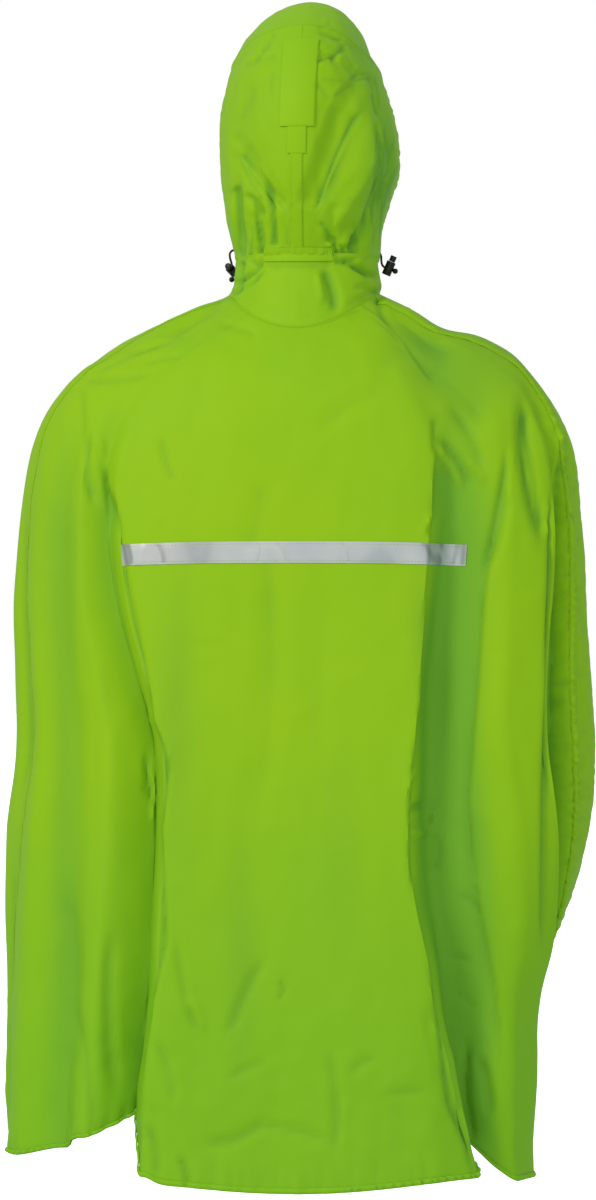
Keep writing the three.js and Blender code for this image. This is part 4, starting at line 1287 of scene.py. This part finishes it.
def makeLock(side):
    places = lockSet[side]
    foot, tip = Vector(places["foot"]), Vector(places["tip"])
    length = (tip - foot).length
    barrel = turnedBarrel("cordLock" + side.title(), lockSet["barrelRadius"], length)
    selectFaces(barrel, lambda face: abs(face.normal.z) > 0.9)
    bpy.ops.mesh.inset(thickness=1.1 * mm, use_individual=True)
    bpy.ops.transform.resize(value=(1, 1, 0.94), center_override=(0, 0, length / 2 * mm))
    bpy.ops.object.mode_set(mode="OBJECT")
    softened(barrel, 0.7)
    standOn(barrel, foot, tip)
    line = smoothRoute(cordSet[side], 8)
    middle = np.array((foot + tip) / 2)
    nearest = int(np.argmin(np.linalg.norm(line - middle, axis=1)))
    nearest = min(max(nearest, 2), len(line) - 3)
    ahead = unit(line[nearest + 2] - line[nearest - 2])
    start = Vector(line[nearest] - ahead * 16)
    drill = turnedBarrel("drill", lockSet["hole"] / 2, 32, 20)
    standOn(drill, start, start + Vector(ahead) * 10)
    pick(barrel)
    hole = barrel.modifiers.new("cord hole", "BOOLEAN")
    hole.operation = "DIFFERENCE"
    hole.solver = "EXACT"
    hole.object = drill
    bpy.ops.object.modifier_apply(modifier=hole.name)
    bpy.data.objects.remove(drill)
    bpy.ops.object.shade_smooth_by_angle(angle=math.radians(35))

    plunger = turnedBarrel("lockPlunger" + side.title(), lockSet["plungerRadius"], lockSet["plungerLength"])
    selectFaces(plunger, lambda face: face.normal.z > 0.9)
    bpy.ops.mesh.inset(thickness=0.9 * mm)
    bpy.ops.mesh.inset(thickness=0.5 * mm, depth=-0.5 * mm)
    bpy.ops.object.mode_set(mode="OBJECT")
    softened(plunger, 0.5)
    axis = (tip - foot).normalized()
    start = tip + axis * lockSet["gap"]
    standOn(plunger, start, start + axis)

    deselectAll()
    bpy.ops.mesh.primitive_uv_sphere_add(segments=32, ring_count=20, radius=lockSet["beadRadius"] * mm)
    bead = bpy.context.active_object
    bead.name = bead.data.name = "cordBead" + side.title()
    selectFaces(bead, lambda face: face.normal.z > 0.97)
    bpy.ops.transform.translate(value=(0, 0, -0.5 * mm))
    bpy.ops.object.mode_set(mode="OBJECT")
    bpy.ops.object.shade_smooth_by_angle(angle=math.radians(50))
    bead.location = Vector(places["bead"]) * mm
    bpy.ops.object.transform_apply(location=True, rotation=True, scale=True)
    for obj, node in ((barrel, "cord_lock_"), (plunger, "lock_plunger_"), (bead, "cord_bead_")):
        pieces[obj.name] = obj
        finished(obj, "black_plastic", node + side)
    return [barrel, plunger, bead]


for side in ("left", "right"):
    obj, length, route = cords[side]
    hardware = makeLock(side)
    pieces[obj.name] = obj
    finished(obj, "cord", "drawcord_" + side)
say("cord locks")

# Sewing: rows of short raised stitches along seams and edges

stitchSet = {
    "length": 2.9,
    "gap": 1.1,
    "radius": 0.26,
    "proud": 0.12,
    "besideSeam": 3.4,
    "leftStand": 0.45,        # over the panel, along the side seams
    "rightStand": 1.1,
    "hemStand": 0.6,
    "hemSunk": 1.5,           # where the back hem climbs round the left fold
    "tapeStand": 1.0,
    "faceStand": 1.35,
}


def stitches(name, line, normals):
    # line is points on the cloth's outer face in millimetres, with their outward normals
    steps = np.linalg.norm(np.diff(line, axis=0), axis=1)
    walked = np.concatenate([[0], np.cumsum(steps)])
    pitch = stitchSet["length"] + stitchSet["gap"]
    count = int(walked[-1] // pitch)
    shares = np.array([0.0, 0.18, 0.82, 1.0])
    widths = np.array([0.25, 1.0, 1.0, 0.25]) * stitchSet["radius"]
    lifts = np.array([-0.25, 0.0, 0.0, -0.25]) + stitchSet["proud"]
    angles = np.arange(6) * math.pi / 3
    vertices, faces = [], []
    for k in range(count):
        at = (k + 0.5) * pitch - stitchSet["length"] / 2 + shares * stitchSet["length"]
        centre = np.stack([np.interp(at, walked, line[:, i]) for i in range(3)], -1)
        out = unit(np.stack([np.interp(at, walked, normals[:, i]) for i in range(3)], -1))
        along = unit(centre[-1] - centre[0])
        across = unit(np.cross(out, along))
        first = len(vertices)
        for i in range(4):
            middle = centre[i] + out[i] * lifts[i]
            for angle in angles:
                spoke = math.cos(angle) * across[i] + math.sin(angle) * out[i]
                vertices.append(middle + widths[i] * spoke)
        for i in range(3):
            for j in range(6):
                a, b = first + i * 6 + j, first + i * 6 + (j + 1) % 6
                faces.append((a, a + 6, b + 6, b))
        faces.append(tuple(first + j for j in range(6)))
        faces.append(tuple(first + 18 + 5 - j for j in range(6)))
    obj = makeObject(name, (np.array(vertices) * mm).tolist(), faces)
    pick(obj)
    bpy.ops.object.mode_set(mode="EDIT")
    bpy.ops.mesh.select_all(action="SELECT")
    bpy.ops.mesh.normals_make_consistent(inside=False)
    bpy.ops.object.mode_set(mode="OBJECT")
    bpy.ops.object.shade_smooth()
    pieces[name] = obj
    return finished(obj, "coated_cloth")


def sewnAlong(name, surface, u, v, stand):
    line = surface(u, v, stand)
    normals = unit(surface(u, v, stand + 1.0) - line)
    return stitches(name, line, normals)


bodyLevels = np.linspace(0.3, hemLevel - 0.02, 700)
sewn = {"backPanel": [], "frontPanel": [], "hoodLeft": [], "hoodRight": [], "hoodPeak": []}
for side, sign in (("left", 1), ("right", -1)):
    for place, turned in (("Rear", -sign), ("Fore", sign)):
        name = "sideStitch" + side.title() + place
        u = millimetresAround(float(seams[side]), bodyLevels, turned * stitchSet["besideSeam"])
        stand = stitchSet[side + "Stand"]
        sewn["backPanel"].append(sewnAlong(name, bodySurface, u, bodyLevels, stand))
hemRound = np.linspace(seams["right"] + 0.32, seams["left"] + lineCount - 0.32, 900)
hemStitchLevel = np.full_like(hemRound, hemLevel - formSet["hemBand"] + 0.012)
climbing = besideLine(hemRound, "leftBackEdge") - 0.4
stand = stitchSet["hemStand"] - stitchSet["hemSunk"] * hump(climbing, 0.45)
sewn["backPanel"].append(sewnAlong("hemStitchBack", bodySurface, hemRound, hemStitchLevel, stand))
hemRound = np.linspace(seams["left"] + 0.32, seams["right"] - 0.32, 900)
stand = stitchSet["hemStand"]
sewn["frontPanel"].append(sewnAlong("hemStitchFront", bodySurface, hemRound, hemStitchLevel, stand))
neckRound = np.linspace(seams["right"] + 0.4, seams["left"] + lineCount - 0.4, 300)
sewn["backPanel"].append(sewnAlong("necklineStitch", bodySurface, neckRound, np.full(300, 0.09), 0.0))
tapeRound = np.linspace(tapeEnds[0] + 0.03, tapeEnds[1] - 0.03, 500)
for name, level in (("tapeStitchTop", tapeLevels[0] + 0.03), ("tapeStitchBottom", tapeLevels[1] - 0.03)):
    levels = np.full(500, level)
    sewn["backPanel"].append(sewnAlong(name, bodySurface, tapeRound, levels, stitchSet["tapeStand"]))
strapTop, strapBottom, strapHalf = formSet["strap"]
rows = np.linspace(rowOfHeight(strapBottom + 2), rowOfHeight(strapTop - 1), 200)
for name, side in (("strapStitchLeft", 1), ("strapStitchRight", -1)):
    u = acrossOfX(np.full(200, side * (strapHalf - 1.5)), rows)
    sewn["hoodLeft"].append(sewnAlong(name, hoodSurface, u, rows, stripSet["hoodStrap"]["stand"]))
for name, side, owner in (("faceStitchLeft", 1, "hoodLeft"), ("faceStitchRight", -1, "hoodRight")):
    rows = np.linspace(0.1, browBandRow - 0.1, 400)
    u = acrossOfInset(formSet["faceBand"] - 1.2, rows, side)
    sewn[owner].append(sewnAlong(name, hoodSurface, u, rows, stitchSet["faceStand"]))
crossing = np.linspace(-0.8, 0.8, 400)
crownLevels = np.full(400, crownRow - 0.045)
sewn["hoodPeak"].append(sewnAlong("crownStitch", hoodSurface, crossing, crownLevels, 0.0))
say("sewing")

# Flat sizes of the cut pieces, in metres, and what lies on each

sheetSet = {
    "backPanel": {"flat": (0.95, 1.1), "area": 0.76, "held": "hung", "on": ["collarCloth"],
                  "with": ["reflectiveTape", "hemBandBack", "sideBandLeft", "sideBandRight"]},
    "frontPanel": {"flat": (1.1, 1.1), "area": 0.93, "held": "hung", "on": ["collarCloth"],
                   "with": ["hemBandFront"]},
    "collarCloth": {"flat": (0.5, 0.075), "area": 0.034, "held": "gathered", "on": ["backPanel"],
                    "with": ["neckBand"]},
    "hoodLeft": {"flat": (0.24, 0.32), "area": 0.063, "held": "draped", "on": ["collarCloth"],
                 "with": ["hoodTab", "strapStub", "hoodStrap", "faceBandLeft"]},
    "hoodRight": {"flat": (0.24, 0.32), "area": 0.063, "held": "draped", "on": ["collarCloth"],
                  "with": ["faceBandRight"]},
    "hoodPeak": {"flat": (0.36, 0.16), "area": 0.045, "held": "draped", "on": ["hoodLeft", "hoodRight"],
                 "with": ["browBand"]},
}


def shownArea(obj):
    areas = np.empty(len(obj.data.polygons))
    obj.data.polygons.foreach_get("area", areas)
    return areas.sum() / 2


for name, cut in sheetSet.items():
    print("poncho: cloth", name, round(shownArea(pieces[name]), 4), "of", cut["area"])

# Materials


def effect(name, inputs, outputs):
    tree = bpy.data.node_groups.new(name, "ShaderNodeTree")
    for label, kind, value in inputs:
        socket = tree.interface.new_socket(label, in_out="INPUT", socket_type=kind)
        if value is not None:
            socket.default_value = value
    for label, kind in outputs:
        tree.interface.new_socket(label, in_out="OUTPUT", socket_type=kind)
    return tree, tree.nodes.new("NodeGroupInput"), tree.nodes.new("NodeGroupOutput")


def fill(made, inputs):
    for key, value in inputs.items():
        made.inputs[key].default_value = value


def node(tree, kind, inputs=None, **settings):
    made = tree.nodes.new(kind)
    for key, value in settings.items():
        setattr(made, key, value)
    fill(made, inputs or {})
    return made


def math2(tree, operation, a, b):
    made = node(tree, "ShaderNodeMath", operation=operation)
    for socket, value in zip(made.inputs, (a, b)):
        if isinstance(value, (int, float)):
            socket.default_value = value
        else:
            tree.links.new(value, socket)
    return made.outputs[0]


def makeCrinkle():
    # small creases of light coated cloth, as a height in metres
    tree, given, out = effect(
        "cloth crinkle",
        [("Vector", "NodeSocketVector", None), ("Scale", "NodeSocketFloat", 30.0),
         ("Height", "NodeSocketFloat", 0.0008)],
        [("Height", "NodeSocketFloat"), ("Tone", "NodeSocketFloat")])
    warp = node(tree, "ShaderNodeTexNoise", {"Scale": 14.0, "Detail": 1.0})
    shift = node(tree, "ShaderNodeVectorMath", {1: (0.05, 0.05, 0.05)}, operation="MULTIPLY_ADD")
    tree.links.new(given.outputs["Vector"], warp.inputs["Vector"])
    tree.links.new(warp.outputs["Color"], shift.inputs[0])
    tree.links.new(given.outputs["Vector"], shift.inputs[2])
    fine = node(tree, "ShaderNodeTexNoise", {"Detail": 2.0, "Roughness": 0.4},
                noise_type="RIDGED_MULTIFRACTAL")
    tree.links.new(shift.outputs[0], fine.inputs["Vector"])
    tree.links.new(given.outputs["Scale"], fine.inputs["Scale"])
    tree.links.new(math2(tree, "MULTIPLY", fine.outputs["Fac"], given.outputs["Height"]),
                   out.inputs["Height"])
    tree.links.new(warp.outputs["Fac"], out.inputs["Tone"])
    return tree


def makeWeave():
    # a plain weave from two sets of threads across each other, on the cut's own coordinates
    tree, given, out = effect(
        "plain weave",
        [("Vector", "NodeSocketVector", None), ("Threads", "NodeSocketFloat", 1400.0),
         ("Height", "NodeSocketFloat", 0.00004)],
        [("Height", "NodeSocketFloat")])
    apart = node(tree, "ShaderNodeSeparateXYZ")
    tree.links.new(given.outputs["Vector"], apart.inputs[0])
    turned = math2(tree, "MULTIPLY", given.outputs["Threads"], math.pi)
    threads = []
    for axis in (0, 1):
        angle = math2(tree, "MULTIPLY", apart.outputs[axis], turned)
        threads.append(math2(tree, "SINE", angle, 0.0))
    crossed = math2(tree, "MULTIPLY", threads[0], threads[1])
    tree.links.new(math2(tree, "MULTIPLY", crossed, given.outputs["Height"]), out.inputs["Height"])
    return tree


crinkle = makeCrinkle()
weave = makeWeave()


def newMaterial(name, inputs):
    material = bpy.data.materials.new(name)
    material.use_nodes = True
    tree = material.node_tree
    shader = tree.nodes["Principled BSDF"]
    fill(shader, inputs)
    return material, tree, shader


def texture(tree, place, kind, inputs, **settings):
    # a texture or a group on the piece's own coordinates
    made = node(tree, kind, inputs, **settings)
    tree.links.new(place.outputs["Object"], made.inputs["Vector"])
    return made


def bumped(tree, shader, height):
    bump = node(tree, "ShaderNodeBump", {"Strength": 1.0, "Distance": 1.0})
    tree.links.new(height, bump.inputs["Height"])
    tree.links.new(bump.outputs["Normal"], shader.inputs["Normal"])


def colourRamp(tree, factor, stops):
    ramp = node(tree, "ShaderNodeValToRGB")
    ramp.color_ramp.interpolation = "EASE"
    while len(ramp.color_ramp.elements) < len(stops):
        ramp.color_ramp.elements.new(0.5)
    for element, (position, colour) in zip(ramp.color_ramp.elements, stops):
        element.position = position
        element.color = (*colour, 1.0)
    tree.links.new(factor, ramp.inputs["Fac"])
    return ramp.outputs["Color"]


def mixed(tree, share, tone, colour):
    both = node(tree, "ShaderNodeMix", data_type="RGBA")
    colours = [socket for socket in both.inputs if socket.type == "RGBA"]
    colours[1].default_value = (*colour, 1.0)
    tree.links.new(share, both.inputs["Factor"])
    tree.links.new(tone, colours[0])
    return next(socket for socket in both.outputs if socket.type == "RGBA")


def softShare(tree, value, low, high):
    share = node(tree, "ShaderNodeMapRange", {"From Min": low, "From Max": high},
                 interpolation_type="SMOOTHSTEP")
    tree.links.new(value, share.inputs["Value"])
    return share.outputs["Result"]


def foldShaded(tree, tone, colour, depth=26.0):
    # mixes in painted shade for the cloth's hollows, by the depth noted on the mesh
    note = node(tree, "ShaderNodeAttribute", attribute_name="sunk")
    return mixed(tree, softShare(tree, note.outputs["Fac"], 1.0, depth), tone, colour)


def dimmed(tree, tone, colour):
    note = node(tree, "ShaderNodeAttribute", attribute_name="shade")
    return mixed(tree, note.outputs["Fac"], tone, colour)


clothSet = {
    # painted shade colours: the first for deep in the folds, the second for the shaded areas
    "foldShade": (0.182, 0.435, 0.031),
    "shade": (0.165, 0.385, 0.03),
    "light": (0.305, 0.535, 0.009),
    "middle": (0.29, 0.53, 0.010),
    "deep": (0.265, 0.52, 0.013),
    "low": (0.23, 0.50, 0.016),
    "lowFrom": -0.45,
    "lowTo": -0.9,
    "patches": {"Scale": 5.0, "Detail": 3.0},
    "roughFrom": 0.45,
    "roughTo": 0.6,
    "shader": {"Specular IOR Level": 0.09, "Sheen Weight": 0.02, "Sheen Roughness": 0.4,
               "Sheen Tint": (0.6, 0.9, 0.3, 1.0)},
}


def coatedCloth(name, crinkleHeight, crinkleScale, weaveHeight=0.00003):
    material, tree, shader = newMaterial(name, clothSet["shader"])
    place = node(tree, "ShaderNodeTexCoord")
    patches = texture(tree, place, "ShaderNodeTexNoise", clothSet["patches"])
    tone = colourRamp(tree, patches.outputs["Fac"], [
        (0.3, clothSet["deep"]), (0.5, clothSet["middle"]), (0.7, clothSet["light"])])
    height = node(tree, "ShaderNodeSeparateXYZ")
    tree.links.new(place.outputs["Object"], height.inputs[0])
    down = softShare(tree, height.outputs["Z"], clothSet["lowFrom"], clothSet["lowTo"])
    tone = mixed(tree, down, tone, clothSet["low"])
    # painted shade deep in the folds, then in the shaded areas
    tone = foldShaded(tree, tone, clothSet["foldShade"])
    tree.links.new(dimmed(tree, tone, clothSet["shade"]), shader.inputs["Base Color"])
    small = texture(tree, place, "ShaderNodeGroup", {"Scale": crinkleScale, "Height": crinkleHeight},
                    node_tree=crinkle)
    threads = node(tree, "ShaderNodeGroup", {"Height": weaveHeight}, node_tree=weave)
    tree.links.new(place.outputs["UV"], threads.inputs["Vector"])
    bumped(tree, shader, math2(tree, "ADD", small.outputs["Height"], threads.outputs["Height"]))
    rough = node(tree, "ShaderNodeMapRange",
                 {"To Min": clothSet["roughFrom"], "To Max": clothSet["roughTo"]})
    tree.links.new(patches.outputs["Fac"], rough.inputs["Value"])
    tree.links.new(rough.outputs["Result"], shader.inputs["Roughness"])
    return material


tapeLook = {
    "dark": (0.37, 0.38, 0.44),
    "middle": (0.455, 0.455, 0.51),
    "light": (0.5, 0.5, 0.55),
    # colour of the painted shade in the tape's creases
    "creaseShade": (0.27, 0.28, 0.31),
    "creaseDepth": 4.0,
    "crinkle": {"Scale": 45.0, "Height": 0.0005},
    "beads": {"Scale": 2500.0},
    "beadHeight": 0.00004,
    "shader": {"Roughness": 0.42, "Metallic": 0.25, "Sheen Weight": 0.1},
}


def tapeMaterial():
    material, tree, shader = newMaterial("reflectiveTape", tapeLook["shader"])
    place = node(tree, "ShaderNodeTexCoord")
    warp = texture(tree, place, "ShaderNodeGroup", tapeLook["crinkle"], node_tree=crinkle)
    stops = [(0.35, tapeLook["dark"]), (0.48, tapeLook["middle"]), (0.6, tapeLook["light"])]
    tone = colourRamp(tree, warp.outputs["Tone"], stops)
    # painted shade in the tape's creases
    tone = foldShaded(tree, tone, tapeLook["creaseShade"], tapeLook["creaseDepth"])
    tree.links.new(tone, shader.inputs["Base Color"])
    beads = texture(tree, place, "ShaderNodeTexNoise", tapeLook["beads"])
    grains = math2(tree, "MULTIPLY", beads.outputs["Fac"], tapeLook["beadHeight"])
    bumped(tree, shader, math2(tree, "ADD", warp.outputs["Height"], grains))
    return material


plasticLook = {
    "dark": (0.004, 0.004, 0.005),
    "light": (0.009, 0.009, 0.010),
    "grain": {"Scale": 900.0},
    "relief": 0.00006,
    "shader": {"Roughness": 0.38, "Specular IOR Level": 0.3},
}


def plasticMaterial():
    material, tree, shader = newMaterial("blackPlastic", plasticLook["shader"])
    place = node(tree, "ShaderNodeTexCoord")
    grain = texture(tree, place, "ShaderNodeTexNoise", plasticLook["grain"])
    stops = [(0.3, plasticLook["dark"]), (0.7, plasticLook["light"])]
    tree.links.new(colourRamp(tree, grain.outputs["Fac"], stops), shader.inputs["Base Color"])
    bumped(tree, shader, math2(tree, "MULTIPLY", grain.outputs["Fac"], plasticLook["relief"]))
    return material


cordLook = {
    "dark": (0.006, 0.006, 0.007),
    "light": (0.022, 0.022, 0.025),
    "braid": {"Scale": 420.0, "Distortion": 1.5},
    "relief": 0.00015,
    "shader": {"Roughness": 0.8},
}


def cordMaterial():
    material, tree, shader = newMaterial("braidedCord", cordLook["shader"])
    place = node(tree, "ShaderNodeTexCoord")
    braid = texture(tree, place, "ShaderNodeTexWave", cordLook["braid"],
                    wave_type="BANDS", bands_direction="DIAGONAL")
    stops = [(0.2, cordLook["dark"]), (0.8, cordLook["light"])]
    tree.links.new(colourRamp(tree, braid.outputs["Fac"], stops), shader.inputs["Base Color"])
    bumped(tree, shader, math2(tree, "MULTIPLY", braid.outputs["Fac"], cordLook["relief"]))
    return material


finishes = {
    "cloth": coatedCloth("limeCloth", 0.0011, 26.0),
    "hoodCloth": coatedCloth("limeHoodCloth", 0.0012, 34.0),
    "bandCloth": coatedCloth("limeBandCloth", 0.0006, 70.0, 0.00005),
    "tabCloth": coatedCloth("limeTabCloth", 0.0002, 30.0, 0.00002),
    "thread": coatedCloth("limeThread", 0.00005, 300.0, 0.0),
    "tape": tapeMaterial(),
    "plastic": plasticMaterial(),
    "cord": cordMaterial(),
}
finishOf = {
    "cloth": ["backPanel", "frontPanel", "collarCloth"],
    "hoodCloth": ["hoodLeft", "hoodRight", "hoodPeak"],
    "bandCloth": ["sideBandLeft", "sideBandRight", "hemBandBack", "hemBandFront", "neckBand",
                  "faceBandLeft", "faceBandRight", "browBand", "hoodStrap"],
    "tabCloth": ["hoodTab", "strapStub"],
    "tape": ["reflectiveTape"],
    "cord": ["drawcordLeft", "drawcordRight"],
}
byPiece = {name: finish for finish, names in finishOf.items() for name in names}
for name, obj in pieces.items():
    if "Stitch" in name:
        finish = "thread"
    else:
        finish = byPiece.get(name, "plastic")
    obj.data.materials.clear()
    obj.data.materials.append(finishes[finish])
say("materials")

# Floor and light

lightSet = {
    "floor": -1.5,
    "key": {"place": (2.85, 3.85, 2.3), "size": 1.4, "power": 113.0, "colour": (1.0, 0.88, 0.74)},
    "fill": {"place": (-0.6, 5.2, 0.6), "size": 3.0, "power": 38.0, "colour": (1.0, 1.0, 0.95)},
    "around": 0.6,
    "aroundColour": (0.83, 1.0, 0.88),
    "aim": (0, 0, -0.35),
    "floorShader": {"Base Color": (0.93, 0.93, 0.93, 1.0), "Roughness": 0.9, "Specular IOR Level": 0.0,
                    "Emission Color": (1.0, 1.0, 1.0, 1.0), "Emission Strength": 0.9},
}

deselectAll()
bpy.ops.mesh.primitive_circle_add(vertices=96, radius=40.0, fill_type="NGON",
                                  location=(0, 0, lightSet["floor"]))
floor = bpy.context.active_object
floor.name = floor.data.name = "floor"
material, tree, shader = newMaterial("paleFloor", lightSet["floorShader"])
floor.visible_diffuse = floor.visible_glossy = False   # its glow stays off the cloth
floor.data.materials.append(material)


def areaLight(name, settings):
    data = bpy.data.lights.new(name, "AREA")
    data.shape = "DISK"
    data.size = settings["size"]
    data.energy = settings["power"]
    data.color = settings["colour"]
    obj = bpy.data.objects.new(name, data)
    obj.location = settings["place"]
    aim = Vector(lightSet["aim"]) - Vector(settings["place"])
    obj.rotation_euler = aim.to_track_quat("-Z", "Y").to_euler()
    bpy.context.scene.collection.objects.link(obj)


areaLight("key", lightSet["key"])
areaLight("fill", lightSet["fill"])

world = bpy.data.worlds.new("studio")
bpy.context.scene.world = world
world.use_nodes = True
tree = world.node_tree
tree.nodes.clear()
soft = node(tree, "ShaderNodeBackground",
            {"Color": (*lightSet["aroundColour"], 1.0), "Strength": lightSet["around"]})
plain = node(tree, "ShaderNodeBackground", {"Color": (1.0, 1.0, 1.0, 1.0)})
rays = node(tree, "ShaderNodeLightPath")
either = node(tree, "ShaderNodeMixShader")
out = node(tree, "ShaderNodeOutputWorld")
tree.links.new(rays.outputs["Is Camera Ray"], either.inputs[0])
tree.links.new(soft.outputs[0], either.inputs[1])
tree.links.new(plain.outputs[0], either.inputs[2])
tree.links.new(either.outputs[0], out.inputs["Surface"])
bpy.context.scene.view_settings.view_transform = "Standard"
say("floor and light")
